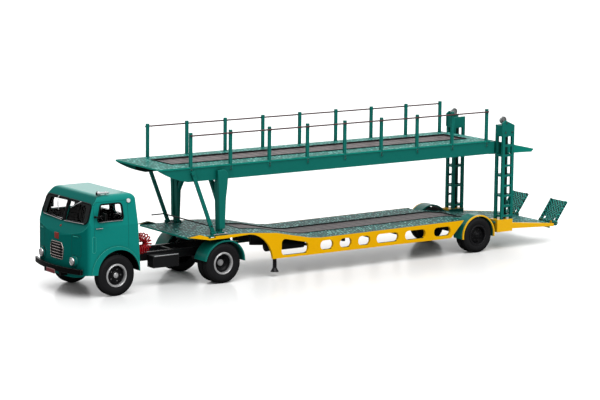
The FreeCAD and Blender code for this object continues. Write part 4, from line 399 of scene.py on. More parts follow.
# ------------------------------------------------------------------ underframe, axles and legs
# What hangs under the decks and the tractor's chassis is sprayed satin black.  Its edges are
# painted a thin grey line, a painted highlight.
black_steel = finish_of("black_steel", (0.010, 0.010, 0.011), (0.16, 0.16, 0.165), 0.30, edge_width=0.16,
                        mottle=0.25, specular=0.2)
give(black_steel, "underframe", "kingpin_plate", "air_tank", "landing_legs", "trailer_axle_beam",
     "chassis_frame", "front_axle_beam", "knuckle_left", "knuckle_right", "drive_axle_housing",
     "fifth_wheel")

# ------------------------------------------------------------------ green steelwork
# The upper deck's beams, rail posts, portal, lattice masts and fenders are welded steel in the cab's
# teal enamel, a little duller, and lighter along every edge as a painted highlight.  The beams' inner
# sides are painted near black, a painted shade under the upper deck.
steel_teal = (0.003, 0.148, 0.120)
beam_inner, beam_front = 20.5, -96
steel_paint = {"colour": steel_teal, "edge_colour": (0.03, 0.36, 0.30), "rough": 0.30, "edge_width": 0.22,
               "mottle": 0.14}
teal_steel = finish_of("teal_steel", **steel_paint)
give(teal_steel, "posts", "portal_columns", "portal_struts", "rear_towers",
     "trailer_fenders", "drive_fenders")
beam_steel = finish_of("beam_steel", **steel_paint)
tree = beam_steel.node_tree
place = parted(tree, surface(tree))
# Inner sides behind the front take a near black, a painted shade under the upper deck.
painted_shade_inner_side = math_step(tree, "MULTIPLY", near_middle(tree, place, beam_inner * mm),
                       math_step(tree, "GREATER_THAN", place["X"], beam_front * mm))
patterned(beam_steel, blend(tree, painted_shade_inner_side, steel_teal, (0.001, 0.022, 0.019)))
give(beam_steel, "upper_beams")
give(tread_plate("upper_tread", (0.003, 0.11, 0.09), (0.03, 0.31, 0.26), (0.27, 0.56, 0.51)), "upper_deck")

# ------------------------------------------------------------------ bolts
# Hexagon heads on round washers hold the posts to the side beams and the portal's feet to the neck.
# One is made and the rest are its copies.
bolt_steel = finish_of("bolt_steel", (0.02, 0.07, 0.06), (0.30, 0.36, 0.34), 0.35, edge_width=0.08,
                       metallic=0.4)


def mesh_of(piece):
    """A piece's mesh, kept when the piece itself is put away."""
    mesh = piece.data.copy()
    bpy.data.objects.remove(piece)
    return mesh


def bolt_mesh(radius):
    """A bolt head on a washer of a radius in millimetres, standing along +Z from the origin."""
    reach = radius * mm
    deselected()
    bpy.ops.mesh.primitive_cylinder_add(vertices=12, radius=reach, depth=0.35 * reach,
                                        location=(0, 0, 0.175 * reach))
    washer = bpy.context.object
    bpy.ops.mesh.primitive_cylinder_add(vertices=6, radius=0.66 * reach, depth=0.75 * reach,
                                        location=(0, 0, 0.6 * reach))
    rim = bpy.context.object.modifiers.new("rim", "BEVEL")
    rim.width, rim.segments = 0.12 * reach, 2
    bpy.ops.object.modifier_apply(modifier="rim")
    washer.select_set(True)
    bpy.ops.object.join()
    bpy.ops.object.transform_apply(location=True, rotation=True, scale=True)
    return mesh_of(bpy.context.object)


def set_out(mesh, places):
    """Copies of a mesh at matrices, joined to one object."""
    deselected()
    for matrix in places:
        copy = bpy.data.objects.new("copy", mesh.copy())
        copy.data.transform(matrix)
        bpy.context.collection.objects.link(copy)
        copy.select_set(True)
    bpy.context.view_layer.objects.active = copy
    if len(places) > 1:
        bpy.ops.object.join()
    return bpy.context.object


def at(x, y, z):
    """A matrix that moves to a point in millimetres."""
    return Matrix.Translation(Vector((x, y, z)) * mm)


def facing(direction, point):
    """A matrix that stands +Z along a direction at a point in millimetres."""
    return at(*point) @ Vector(direction).to_track_quat("Z", "Y").to_matrix().to_4x4()


def quarter(axis, turns=1):
    """A matrix of quarter turns about an axis."""
    return Matrix.Rotation(math.radians(90 * turns), 4, axis)


post_half, post_count = 0.7, 9
foot_thick, foot_z, post_bolts_z = 0.25, 57.9, (57.3, 58.5)
posts_low, posts_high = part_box("posts")
post_pitch = (posts_high[0] - posts_low[0] - 2 * post_half * mm) / (post_count - 1) / mm
posts_x = [posts_low[0] / mm + post_half + number * post_pitch for number in range(post_count)]
beam_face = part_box("upper_beams")[1][1] / mm
portal_low, portal_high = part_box("portal_columns")
portal_x = (portal_low[0] + portal_high[0]) / 2 / mm
places = [facing((0, side, 0), (x, side * (beam_face + foot_thick), z))
          for side in (-1, 1) for x in posts_x for z in post_bolts_z]
finished(set_out(bolt_mesh(0.42), places), "post_bolts", "trailer", bolt_steel, "green_paint")
places = [facing((0, 0, 1), (portal_x + dx, side * 20.1 + dy, 25.85))
          for side in (-1, 1) for dx in (-1.5, 1.5) for dy in (-1.6, 1.6)]
finished(set_out(bolt_mesh(0.35), places), "portal_foot_bolts", "trailer", bolt_steel, "green_paint")

# ------------------------------------------------------------------ portal heads
# A steel flange is welded up each portal column's outer side.  It widens upward and ends in a round
# rear shoulder that laps over the side beam.
shoulder_radius, shoulder_x, shoulder_z = 2.8, 0.1, 54.5


def cut_plate(corners, half_thick, rim=0.0):
    """A flat plate in XY, cut to corners in millimetres, its rim rounded if asked, as a curve object."""
    return curve_piece([(x * mm, y * mm, 0) for x, y in corners], True, dimensions="2D", fill_mode="BOTH",
                       extrude=half_thick * mm, bevel_depth=rim * mm, bevel_resolution=3)


flange_outline = [(-1.5, 28.0), (-1.8, 44.0), (-2.2, 51.0), (-2.6, 57.0), (0.1, 57.3)]
for angle in range(15, 90, 15):
    flange_outline.append((shoulder_x + shoulder_radius * math.sin(math.radians(angle)),
                           shoulder_z + shoulder_radius * math.cos(math.radians(angle))))
flange_outline += [(2.9, 54.0), (2.5, 49.0), (1.7, 43.0), (1.1, 28.0)]
flange = mesh_of(joined([cut_plate(flange_outline, 0.85, rim=0.3)]))
places = [at(portal_x + 0.3, side * 21.7, 0) @ quarter("X") for side in (-1, 1)]
finished(set_out(flange, places), "portal_heads", "trailer", teal_steel, "green_paint")

# ------------------------------------------------------------------ foot pads
# The portal's feet stand on thin zinc-plated pads, bolted down with them.  The pads' pale edges are
# a painted highlight on the neck.
pad_zinc = finish_of("pad_zinc", (0.42, 0.45, 0.46), (0.85, 0.86, 0.86), 0.3, metallic=0.4, edge_width=0.2)


def block(size, rim, segments=2):
    """The mesh of a block with rounded edges, its sizes in millimetres."""
    deselected()
    bpy.ops.mesh.primitive_cube_add(size=1)
    piece = bpy.context.object
    piece.scale = Vector(size) * mm
    bpy.ops.object.transform_apply(scale=True)
    rounding = piece.modifiers.new("rim", "BEVEL")
    rounding.width, rounding.segments = rim * mm, segments
    bpy.ops.object.modifier_apply(modifier="rim")
    return mesh_of(piece)


pad = block((8.6, 3.4, 0.35), rim=0.1)
places = [at(portal_x - 0.6, side * 21.1, 25.12) for side in (-1, 1)]
finished(set_out(pad, places), "foot_pads", "trailer", pad_zinc, "bright_metal")

# ------------------------------------------------------------------ post feet
# Each rail post is welded to a small flat foot of the same teal steel.  The foot laps over the side
# beam's face, where two bolts hold it.
foot = block((1.9, foot_thick, 2.6), rim=0.1)
places = [at(x, side * (beam_face + foot_thick / 2), foot_z) for side in (-1, 1) for x in posts_x]
finished(set_out(foot, places), "post_feet", "trailer", teal_steel, "green_paint")

# ------------------------------------------------------------------ rail wires
# A thin brown rope of three twisted strands runs along each row of posts.  A small clip holds it on
# every post.
rope_half, strand_radius, strand_offset, rope_lay, steps_a_turn = 0.35, 0.27, 0.15, 5.0, 12
rope_brown = finish_of("rope_brown", (0.060, 0.030, 0.030), (0.12, 0.07, 0.07), 0.5, mottle=0.3)
rope_low, rope_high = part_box("rail_wires")
rope_long = rope_high[0] - rope_low[0]
rope_z = (rope_low[2] + rope_high[2]) / 2 / mm
rope_y = rope_high[1] / mm - rope_half
deselected()
bpy.ops.mesh.primitive_circle_add(vertices=6, radius=strand_radius * mm, location=(0, 0, 0),
                                  rotation=(0, math.radians(90), 0))
bpy.ops.object.transform_apply(rotation=True)
places = [at(0, strand_offset * math.cos(math.radians(turn)), strand_offset * math.sin(math.radians(turn)))
          for turn in (0, 120, 240)]
rope = set_out(mesh_of(bpy.context.object), places)
twist = rope.modifiers.new("twist", "SCREW")
twist.axis, twist.angle, twist.screw_offset = "X", math.radians(360), rope_lay * mm
twist.steps = twist.render_steps = steps_a_turn
twist.iterations = int(rope_long / (rope_lay * mm))
bpy.ops.object.modifier_apply(modifier="twist")
span = max(corner[0] for corner in rope.bound_box)
rope.data.transform(Matrix.Diagonal((rope_long / span, 1, 1, 1)))
places = [at(rope_low[0] / mm, side * rope_y, rope_z) for side in (-1, 1)]
ropes = finished(set_out(mesh_of(rope), places), "rail_ropes", "trailer", rope_brown, "brown_wire")
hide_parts("rail_wires")
places = [facing((0, side, 0), (x, side * (rope_y - rope_half), rope_z)) for side in (-1, 1) for x in posts_x]
finished(set_out(bolt_mesh(0.55), places), "rope_clips", "trailer", bolt_steel, "green_paint")

# ------------------------------------------------------------------ mast heads
# Grey cast pulleys turn in the heads of the lattice masts, over black guides.  Dark bolts show on
# each mast's outer plates, three at its head and two at its foot.
cast_grey = finish_of("cast_grey", (0.45, 0.46, 0.46), (0.62, 0.63, 0.63), 0.32, metallic=0.7,
                      edge_width=0.2)
guide_black = finish_of("guide_black", (0.012, 0.016, 0.016), (0.08, 0.10, 0.10), 0.4)
give(guide_black, "tower_guides")
mast_low, mast_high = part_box("rear_towers")
mast_front, mast_face = mast_low[0] / mm + 0.5, mast_high[1] / mm
head_bolts, foot_bolts = ((2.3, 69.2), (1.6, 64.0), (6.2, 64.0)), ((1.0, 17.6), (6.8, 17.6))
places = [facing((0, side, 0), (mast_front + dx, side * mast_face, z))
          for side in (-1, 1) for dx, z in head_bolts + foot_bolts]
finished(set_out(bolt_mesh(0.5), places), "mast_bolts", "trailer", bolt_steel, "green_paint")


def turned(profile, steps=48):
    """A mesh turned about +Y: a ring drawn out through (radius, distance) steps in millimetres."""
    deselected()
    radius, depth = profile[0]
    bpy.ops.mesh.primitive_circle_add(vertices=steps, radius=radius * mm, location=(0, depth * mm, 0),
                                      rotation=(math.radians(90), 0, 0))
    bpy.ops.object.transform_apply(location=True, rotation=True)
    bpy.ops.object.mode_set(mode="EDIT")
    bpy.ops.mesh.select_all(action="SELECT")
    for (radius, depth), (new_radius, new_depth) in zip(profile, profile[1:]):
        bpy.ops.mesh.extrude_region_move(
            TRANSFORM_OT_translate={"value": (0, (new_depth - depth) * mm, 0)})
        bpy.ops.transform.resize(value=(new_radius / radius, 1, new_radius / radius),
                                 center_override=(0, new_depth * mm, 0))
    bpy.ops.mesh.select_all(action="SELECT")
    bpy.ops.mesh.remove_doubles(threshold=0.012 * mm)
    bpy.ops.mesh.normals_make_consistent(inside=False)
    bpy.ops.object.mode_set(mode="OBJECT")
    return mesh_of(bpy.context.object)


core = 0.002  # the radius at which a turned shape's ends close on its axis
pulley_x, pulley_y, pulley_z = 111.1, 21.15, 70.4
half_pulley = [(core, 0.75), (0.65, 0.75), (0.7, 0.45), (1.35, 0.35), (1.45, 0.62), (2.05, 0.62),
               (2.1, 0.45)]
pulley = turned([(radius, -depth) for radius, depth in half_pulley] + [(1.7, 0.0)] + half_pulley[::-1],
                steps=36)
places = [at(pulley_x, side * pulley_y, pulley_z) for side in (-1, 1)]
pulleys = finished(set_out(pulley, places), "rope_pulleys", "trailer", cast_grey, "grey_metal")
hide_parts("pulleys")

# ------------------------------------------------------------------ winch shaft
# A thin steel shaft lies across the neck, with a crank bent from its end.  It is painted the masts'
# guide black.
give(guide_black, "winch_shaft")

# ------------------------------------------------------------------ ramps
# Two short loading ramps of ribbed plate with side flanges.  The ribs are pressed in squares that turn
# their slant from one to the next.  They hang on the tail's hinge rod and are parked leaning back.
rib_square, rib_spacing, rib_height, ramp_lean = 3.0, 1.5, 0.2, 36


def rolled(tree, vector, axis, degrees):
    """A place turned about an axis."""
    turn = [math.radians(degrees) if letter == axis else 0 for letter in "XYZ"]
    return shade_step(tree, "Mapping", {"Vector": vector, "Rotation": turn}).outputs["Vector"]


def slanting_ribs(tree, upright, slant):
    """Parallel ribs across an upright ramp, at a slant in degrees."""
    across = rolled(tree, upright, "X", slant)
    return shade_step(tree, "TexWave", {"Vector": across, "Scale": wave_span / rib_spacing},
                      wave_type="BANDS", bands_direction="Y").outputs["Fac"]


ramp_tread = finish_of("ramp_tread", teal, teal_light, 0.35, edge_width=0.25)
tree = ramp_tread.node_tree
upright = rolled(tree, surface(tree), "Y", -ramp_lean)
squares = shade_step(tree, "TexChecker", {"Vector": rolled(tree, upright, "X", 45),
                                          "Scale": 1 / (rib_square * mm)}).outputs["Fac"]
leaning, crossing = slanting_ribs(tree, upright, 45), slanting_ribs(tree, upright, 135)
ribs = shade_step(tree, "Mix", {0: squares, 2: leaning, 3: crossing}, data_type="FLOAT").outputs[0]
relief = shade_step(tree, "Bump", {"Strength": 0.7, "Distance": rib_height * mm, "Height": ribs})
# The ribs' colour follows their height: near black in the grooves, a painted shade, and light teal on the
# crests, a painted highlight.
patterned(ramp_tread, ramp(tree, ribs, (0.42, (0.0006, 0.022, 0.020)), (0.80, (0.030, 0.30, 0.25))), relief)
give(ramp_tread, "ramp_left", "ramp_right")

# ------------------------------------------------------------------ cab skin
# The cab is pressed steel in deep teal enamel with a high gloss.  Where its nose faces forward it is
# painted darker than the doors, a painted shade.  Its inside and the linings of its wheel arches are
# black, and its windows are clear flat glass.
nose_painted_shade, door_teal, lining_black = (0.0008, 0.104, 0.090), (0.003, 0.222, 0.190), (0.005, 0.005, 0.005)
nose_front, nose_rear, cab_middle = -151.6, -148.0, Vector((-136, 0, 30)) * mm
lining_middle, lining_radius, lining_half = Vector((-131.65, 0, 11.3)) * mm, 13.2, 23.2
cab_enamel = finish_of("cab_enamel", (0.003, 0.185, 0.140), (0.02, 0.30, 0.24), 0.16, edge_width=0.5,
                       mottle=0.05, relief=0.006, specular=0.12)
tree = cab_enamel.node_tree
place, normal = parted(tree, surface(tree)), surface(tree, "Normal")
# Surfaces at the nose's front that face forward take the darker teal, a painted shade.
behind_nose = spread(tree, place["X"], nose_front * mm, nose_rear * mm)
turned_aside = spread(tree, parted(tree, normal)["X"], -0.62, -0.20)
cab_teal = blend(tree, math_step(tree, "MINIMUM", turned_aside, behind_nose), nose_painted_shade, door_teal)
wire(tree, tree.nodes["Principled BSDF"],
     {"Specular IOR Level": spread(tree, turned_aside, at_low=0.015, at_high=0.16)})
from_arch = vector_step(tree, "MULTIPLY_ADD", surface(tree), (1, 0, 1), -lining_middle)["Vector"]
in_arch = math_step(tree, "LESS_THAN", vector_step(tree, "LENGTH", from_arch)["Value"], lining_radius * mm)
lining = math_step(tree, "MULTIPLY", in_arch, near_middle(tree, place, lining_half * mm))
outward = vector_step(tree, "SUBTRACT", surface(tree), cab_middle)["Vector"]
inside = math_step(tree, "LESS_THAN", vector_step(tree, "DOT_PRODUCT", outward, normal)["Value"], 0)
patterned(cab_enamel, blend(tree, math_step(tree, "MAXIMUM", inside, lining), cab_teal, lining_black))
give(cab_enamel, "cab_shell")
cab_black = finish_of("cab_black", (0.012, 0.011, 0.012), (0.05, 0.05, 0.05), 0.5, mottle=0.3)
give(cab_black, "cab_interior")
window_glass = bpy.data.materials.new("window_glass")
window_glass.use_nodes = True
tree = window_glass.node_tree
wire(tree, tree.nodes["Principled BSDF"], {"Base Color": (0.93, 0.93, 0.93), "Roughness": 0.02,
                                           "Transmission Weight": 1, "IOR": 1.09})
give(window_glass, "cab_glazing")

# ------------------------------------------------------------------ window rubbers
# Black rubber holds each pane in its opening: two flat panes in front with a broad middle seal, a
# window in each door and two small ones in the rear wall.
screen_x, screen_z, screen_lean = -148.6, 35.7, 0.3232
beyond_doors, behind_cab = 30, -110  # places outside the cab, from which an outline lands on its skin
# Corners with their radii: the screens' in (y, z) and the doors' in (x, z).
screen = [(0.7, 36.0, 0.5), (21.9, 36.9, 2.0), (21.3, 46.0, 2.0), (0.7, 46.1, 0.5)]
screen_edge = [(18.4, 36.5, 0.3), (21.8, 36.8, 1.9), (21.2, 46.0, 1.9), (0.7, 46.1, 0.2), (0.7, 45.3, 0.2),
               (17.4, 44.9, 1.2)]
door = [(-143.35, 37.65, 0.9), (-128.65, 37.65, 1.5), (-129.25, 45.75, 1.7), (-140.95, 45.75, 1.1)]


def rounded(corners, step=1.2):
    """A closed outline of corners (a, b, radius) in a plane, as points about a step apart."""
    outline = []
    for index, (a, b, radius) in enumerate(corners):
        here = Vector((a, b))
        before = (Vector(corners[index - 1][:2]) - here).normalized()
        after = (Vector(corners[(index + 1) % len(corners)][:2]) - here).normalized()
        half = before.angle(after) / 2
        reach = radius / math.tan(half)
        middle = here + (before + after).normalized() * (radius / math.sin(half))
        start, end = here + before * reach - middle, here + after * reach - middle
        for number in range(5):
            arm = start.lerp(end, number / 4).normalized() * radius
            outline.append(middle + arm)
    points = []
    for index, point in enumerate(outline):
        following = outline[(index + 1) % len(outline)]
        count = max(1, int((following - point).length / step))
        points += [point.lerp(following, number / count) for number in range(count)]
    return points


def rounded_box(low, high, radius):
    """The outline of an oblong from its lowest to its highest corner."""
    return rounded([(low[0], low[1], radius), (high[0], low[1], radius),
                    (high[0], high[1], radius), (low[0], high[1], radius)])


def on_skin(points, toward, proud=0.0):
    """Points in millimetres moved along a direction onto the cab's skin, a little proud of it."""
    skin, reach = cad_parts["cab_shell"], 30 * mm
    toward = Vector(toward).normalized()
    landed = []
    for point in points:
        start = Vector(point) * mm - toward * reach
        hit, spot, normal, _ = skin.ray_cast(start, toward, distance=2 * reach)
        if not hit:
            _, spot, normal, _ = skin.closest_point_on_mesh(Vector(point) * mm)
        landed.append(spot + normal * proud * mm)
    return landed


def on_screen(y, z, proud=0.0):
    """A point of the windscreens' plane, a little proud of it."""
    return Vector((screen_x + screen_lean * (z - screen_z) - proud, y, z)) * mm


seal_rubber = finish_of("seal_rubber", (0.004, 0.004, 0.005), (0.02, 0.02, 0.02), 0.4, mottle=0.2,
                        specular=0.04)
seals = []
for side in (-1, 1):
    outline = [on_screen(side * y, z, 0.1) for y, z in rounded(screen)]
    seals.append(bead(outline, 0.44, closed=True))
    outline = [(x, side * beyond_doors, z) for x, z in rounded(door)]
    seals.append(bead(on_skin(outline, (0, -side, 0), 0.05), 0.40, closed=True))
    outline = [(behind_cab, side * y, z) for y, z in rounded_box((1.85, 38.05), (14.15, 44.95), 1.3)]
    seals.append(bead(on_skin(outline, (-1, 0, 0), 0.05), 0.32, closed=True))
seals.append(bead([on_screen(0, 36.0 + number) for number in range(11)], 0.65))
finished(joined(seals), "window_rubbers", "tractor", seal_rubber, "black_trim")

# The panes' outer borders are blacked out, where the glass laps over the pillar.
pane_border = finish_of("pane_border", (0.004, 0.006, 0.006), (0.01, 0.012, 0.012), 0.2, mottle=0.1,
                        relief=0.0, specular=0.12)
borders = joined([cut_plate([(side * y, z) for y, z in rounded(screen_edge)], 0.08) for side in (-1, 1)])
onto_screen = Matrix(((0, screen_lean, 0.95, (screen_x - 0.15 - screen_lean * screen_z) * mm), (1, 0, 0, 0),
                      (0, 1, -0.3071, 0), (0, 0, 0, 1)))
borders.data.transform(onto_screen)
finished(borders, "pane_borders", "tractor", pane_border, "black_trim")

# ------------------------------------------------------------------ window trim
# A thin bright strip of drawn metal lies in the foot of each windscreen rubber and of each door
# window's rubber.
bright_trim = finish_of("bright_trim", (0.62, 0.62, 0.64), (0.9, 0.9, 0.9), 0.16, metallic=0.9, mottle=0.05)
strips = []
for side in (-1, 1):
    foot = [on_screen(side * (1.2 + 0.92 * number), 35.85 + 0.04 * number, 0.5) for number in range(21)]
    strips.append(bead(foot, 0.15))
    foot = [(-142.6 + 0.7 * number, side * beyond_doors, 37.40) for number in range(20)]
    strips.append(bead(on_skin(foot, (0, -side, 0), 0.42), 0.14))
finished(joined(strips), "window_trim", "tractor", bright_trim, "bright_metal")

# ------------------------------------------------------------------ wipers
# A bright blade hangs from a pivot over each pane, on a bent wire arm.  They are parked at different
# slants: each arm has its pivot's place and its tip's.
wiper_arms = (((9.5, 46.0), (7.6, 41.2)), ((-11.6, 46.0), (-5.2, 43.0)))
wipers = []
for (y, z), (tip_y, tip_z) in wiper_arms:
    arm = [on_screen(y, z, 0.4), on_screen(y + (tip_y - y) * 0.1, z - 0.4, 1.0),
           on_screen((y + tip_y) / 2, (z + tip_z) / 2, 0.9), on_screen(tip_y, tip_z, 0.6)]
    wipers.append(bead(arm, 0.17))
    along = Vector((0, tip_y - y, tip_z - z)).normalized() * 2.2 * mm
    wipers.append(bead([arm[-1] - along, arm[-1], arm[-1] + along * 0.7], 0.15))
    wipers.append(bead([on_screen(y, z, -0.4), on_screen(y, z, 0.8)], 0.45, sides=3))
finished(joined(wipers), "wipers", "tractor", bright_trim, "bright_metal")

# ------------------------------------------------------------------ panel lines
# The doors, the air panels on the nose and the pressed ovals at the corners show as fine lines.  The
# enamel is dark in each gap; each pressing's edge and each wheel arch's lip carries a raised bead in
# light teal, a painted highlight.
door_front, door_rear, door_top, door_step = -145.1, -125.9, 47.0, 0.8
arch_x, arch_z, arch_radius, arch_y = -133.1, 11.3, 13.45, 23.9
before_nose = -160  # a point this far forward is before the cab
gap_dark = finish_of("gap_dark", (0.001, 0.055, 0.045), (0.002, 0.09, 0.07), 0.5)
pressing_highlight = finish_of("pressing_highlight", (0.01, 0.30, 0.235), (0.05, 0.45, 0.38), 0.2, coat=0.5)
gaps, highlight_beads = [], []
for side in (-1, 1):
    front_line = [(door_front, side * beyond_doors, door_top - door_step * number) for number in range(31)]
    rear_line = [(door_rear, side * beyond_doors, door_top - door_step * number) for number in range(30)]
    top_line = [(door_front + door_step * number, side * beyond_doors, door_top) for number in range(25)]
    for line in (front_line, rear_line, top_line):
        gaps.append(bead(on_skin(line, (0, -side, 0), -0.03), 0.08))
    oval = [(x, side * beyond_doors, z) for x, z in rounded_box((-148.6, 22.6), (-146.6, 30.6), 0.9)]
    highlight_beads.append(bead(on_skin(oval, (0.35, -side, 0), -0.02), 0.14, closed=True))
    panel = [(before_nose, side * y, z) for y, z in rounded_box((13.2, 20.7), (20.2, 31.0), 1.0)]
    gaps.append(bead(on_skin(panel, (1, 0, 0), -0.02), 0.10, closed=True))
    lip = [(before_nose, side * (14.6 + 0.6 * number), 30.3) for number in range(7)]
    highlight_beads.append(bead(on_skin(lip, (1, 0, 0), 0.12), 0.16))
    arch = []
    for angle in range(4, 180, 4):
        turn = math.radians(angle)
        arch.append(Vector((arch_x + arch_radius * math.cos(turn), side * arch_y,
                            arch_z + arch_radius * math.sin(turn))) * mm)
    highlight_beads.append(bead(arch, 0.14))
finished(joined(gaps), "panel_gaps", "tractor", gap_dark, "green_paint")
finished(joined(highlight_beads), "panel_highlight_beads", "tractor", pressing_highlight, "green_paint")

# ------------------------------------------------------------------ radiator grille
# A pressed surround frames a black opening with five thin bars across, plated a warm silver.  It sits
# on the nose, bowed with it, and narrows toward its top.
bar_count, bar_pitch, lowest_bar, bar_half = 5, 1.42, 18.75, 6.1
shoulder, narrowing = 22.6, 1.4 / 3.4
grille_black = finish_of("grille_black", (0.006, 0.006, 0.006), (0.02, 0.02, 0.02), 0.5)
grille_silver = finish_of("grille_silver", (0.50, 0.42, 0.40), (0.80, 0.74, 0.72), 0.22, metallic=0.75,
                          edge_width=0.1)
give(grille_black, "grille")


def nose_x(y):
    """The bowed front of the grille, at a distance from the middle in millimetres."""
    return -152.95 + 0.32 * (y / 6.4) ** 2


bars = []
for number in range(bar_count):
    z = lowest_bar + bar_pitch * number
    half = bar_half - narrowing * max(0, z - shoulder)
    line = [Vector((nose_x(half * step / 6), half * step / 6, z)) * mm for step in range(-6, 7)]
    bars.append(bead(line, 0.21))
outline = rounded([(-5.5, 17.5, 0.8), (5.5, 17.5, 0.8), (6.3, 22.6, 2.5), (4.6, 25.6, 1.2),
                   (-4.6, 25.6, 1.2), (-6.3, 22.6, 2.5)])
bars.append(bead([Vector((nose_x(y) + 0.1, y, z)) * mm for y, z in outline], 0.22, closed=True))
finished(joined(bars), "grille_bars", "tractor", grille_silver, "bright_metal")

# ------------------------------------------------------------------ headlights
# Round lamps in plated rings stand in shallow bulges of the nose.  The lens is ribbed glass over a
# silvered bowl.
lamp_x, lamp_half = -151.2, 2.1
lamp_glass = finish_of("lamp_glass", (0.52, 0.49, 0.49), (0.9, 0.9, 0.9), 0.12, metallic=0.35, mottle=1.6,
                       grain=700, specular=0.6)
chrome = finish_of("chrome", (0.72, 0.72, 0.73), (0.95, 0.95, 0.95), 0.12, metallic=0.95, mottle=0.05)
lamp_low, lamp_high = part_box("headlights")
lamp_z, lamp_y = (lamp_low[2] + lamp_high[2]) / 2 / mm, lamp_high[1] / mm - lamp_half
lamps = [at(lamp_x, side * lamp_y, lamp_z) @ quarter("Z") for side in (-1, 1)]
bulge = turned([(core, 0.0), (3.0, 0.0), (2.95, 0.5), (2.7, 0.95), (2.35, 1.25), (2.1, 1.3), (core, 1.3)])
finished(set_out(bulge, lamps), "lamp_bulges", "tractor", cab_enamel, "green_paint")
ring = turned([(2.0, 1.0), (2.1, 1.3), (2.1, 1.75), (1.95, 2.0), (1.75, 2.05), (1.62, 1.9), (1.62, 1.0),
               (2.0, 1.0)])
finished(set_out(ring, lamps), "lamp_rings", "tractor", chrome, "bright_metal")
lens = turned([(core, 1.2), (1.66, 1.2), (1.66, 1.75), (1.4, 1.95), (1.0, 2.08), (0.5, 2.16), (core, 2.18)])
lens = finished(set_out(lens, lamps), "lamp_lenses", "tractor", lamp_glass, "clear_glass")
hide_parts("headlights")

# ------------------------------------------------------------------ badge and stud
# A plain plate of red enamelled metal is fixed on the nose over the grille, and a small red stud
# above it.  Neither carries any sign.
badge_red = finish_of("badge_red", (0.20, 0.025, 0.018), (0.36, 0.10, 0.08), 0.3, mottle=0.2,
                      edge_width=0.2)
badge = set_out(block((0.5, 4.0, 3.1), rim=0.2, segments=3), [at(-152.62, 0, 28.6)])
finished(badge, "badge", "tractor", badge_red, "red_line")
stud = turned([(core, -0.3), (0.6, -0.3), (0.6, 0.1), (0.45, 0.3), (core, 0.36)], steps=20)
stud_place = on_skin([(before_nose, 0, 33.3)], (1, 0, 0))[0]
finished(set_out(stud, [Matrix.Translation(stud_place) @ quarter("Z")]), "nose_stud", "tractor", badge_red,
         "red_line")

# ------------------------------------------------------------------ door handles and side lamps
# A plated lever handle is pinned to each door near its front edge.  A round white lamp with a domed
# lens stands by each rear roof corner.
handles = []
for side in (-1, 1):
    line = [(-144.4 + 0.5 * number, side * beyond_doors, 34.5 - 0.01 * number) for number in range(8)]
    root = on_skin(line[:1], (0, -side, 0), -0.2)
    handles.append(bead(root + on_skin(line, (0, -side, 0), 0.45), 0.24))
finished(joined(handles), "door_handles", "tractor", chrome, "bright_metal")
lamp_white = finish_of("lamp_white", (0.80, 0.80, 0.80), (0.95, 0.95, 0.95), 0.15, mottle=0.08,
                       specular=0.5)
lamp = turned([(core, -0.6), (1.0, -0.6), (1.0, 0.15), (0.85, 0.55), (0.5, 0.8), (core, 0.88)], steps=24)
places = [facing((0, side, 0), on_skin([(-125.3, side * beyond_doors, 46.6)], (0, -side, 0))[0] / mm)
          @ quarter("X", -1) for side in (-1, 1)]
finished(set_out(lamp, places), "side_lamps", "tractor", lamp_white, "bright_metal")

# ------------------------------------------------------------------ valance
# A valance of the cab's sheet steel hangs under the bumper.  It is bowed with the nose, tucks back
# toward its foot and gets shallower toward its ends.
valance_x, valance_top, valance_wide, valance_drop, sheet_high = -151.6, 12.6, 40, 3.2, 3.4
deselected()
bpy.ops.mesh.primitive_grid_add(x_subdivisions=20, y_subdivisions=3, size=1)
valance = bpy.context.object
valance.scale = (valance_wide * mm, sheet_high * mm, 1)
valance.rotation_euler = (math.radians(90), 0, math.radians(90))
bpy.ops.object.transform_apply(rotation=True, scale=True)
for vertex in valance.data.vertices:
    across = vertex.co.y / (valance_wide / 2 * mm)
    drop = 0.5 - vertex.co.z / (sheet_high * mm)
    vertex.co = Vector((valance_x + 1.9 * across ** 2 + 0.7 * drop, vertex.co.y / mm,
                        valance_top - (valance_drop - 1.6 * across ** 4) * drop)) * mm
wall = valance.modifiers.new("wall", "SOLIDIFY")
wall.thickness = 0.5 * mm
rim = valance.modifiers.new("rim", "BEVEL")
rim.width, rim.segments = 0.12 * mm, 2
finished(valance, "valance", "tractor", cab_enamel, "green_paint")

# ------------------------------------------------------------------ bumper, plate and mirrors
# The bumper is a black channel, bowed across the nose.  The plate under it is red with a pale border
# and carries nothing.  The mirrors are black.
# The bumper's and mirrors' edges are a lighter grey, a painted highlight.
satin_black = finish_of("satin_black", (0.003, 0.003, 0.003), (0.12, 0.12, 0.12), 0.25, edge_width=0.15,
                        mottle=0.2, specular=0.06)
give(satin_black, "front_bumper", "mirrors")
plate_red = finish_of("plate_red", (0.15, 0.03, 0.035), (0.62, 0.5, 0.5), 0.4, edge_width=0.3, mottle=0.4,
                      grain=700)
give(plate_red, "number_plate")

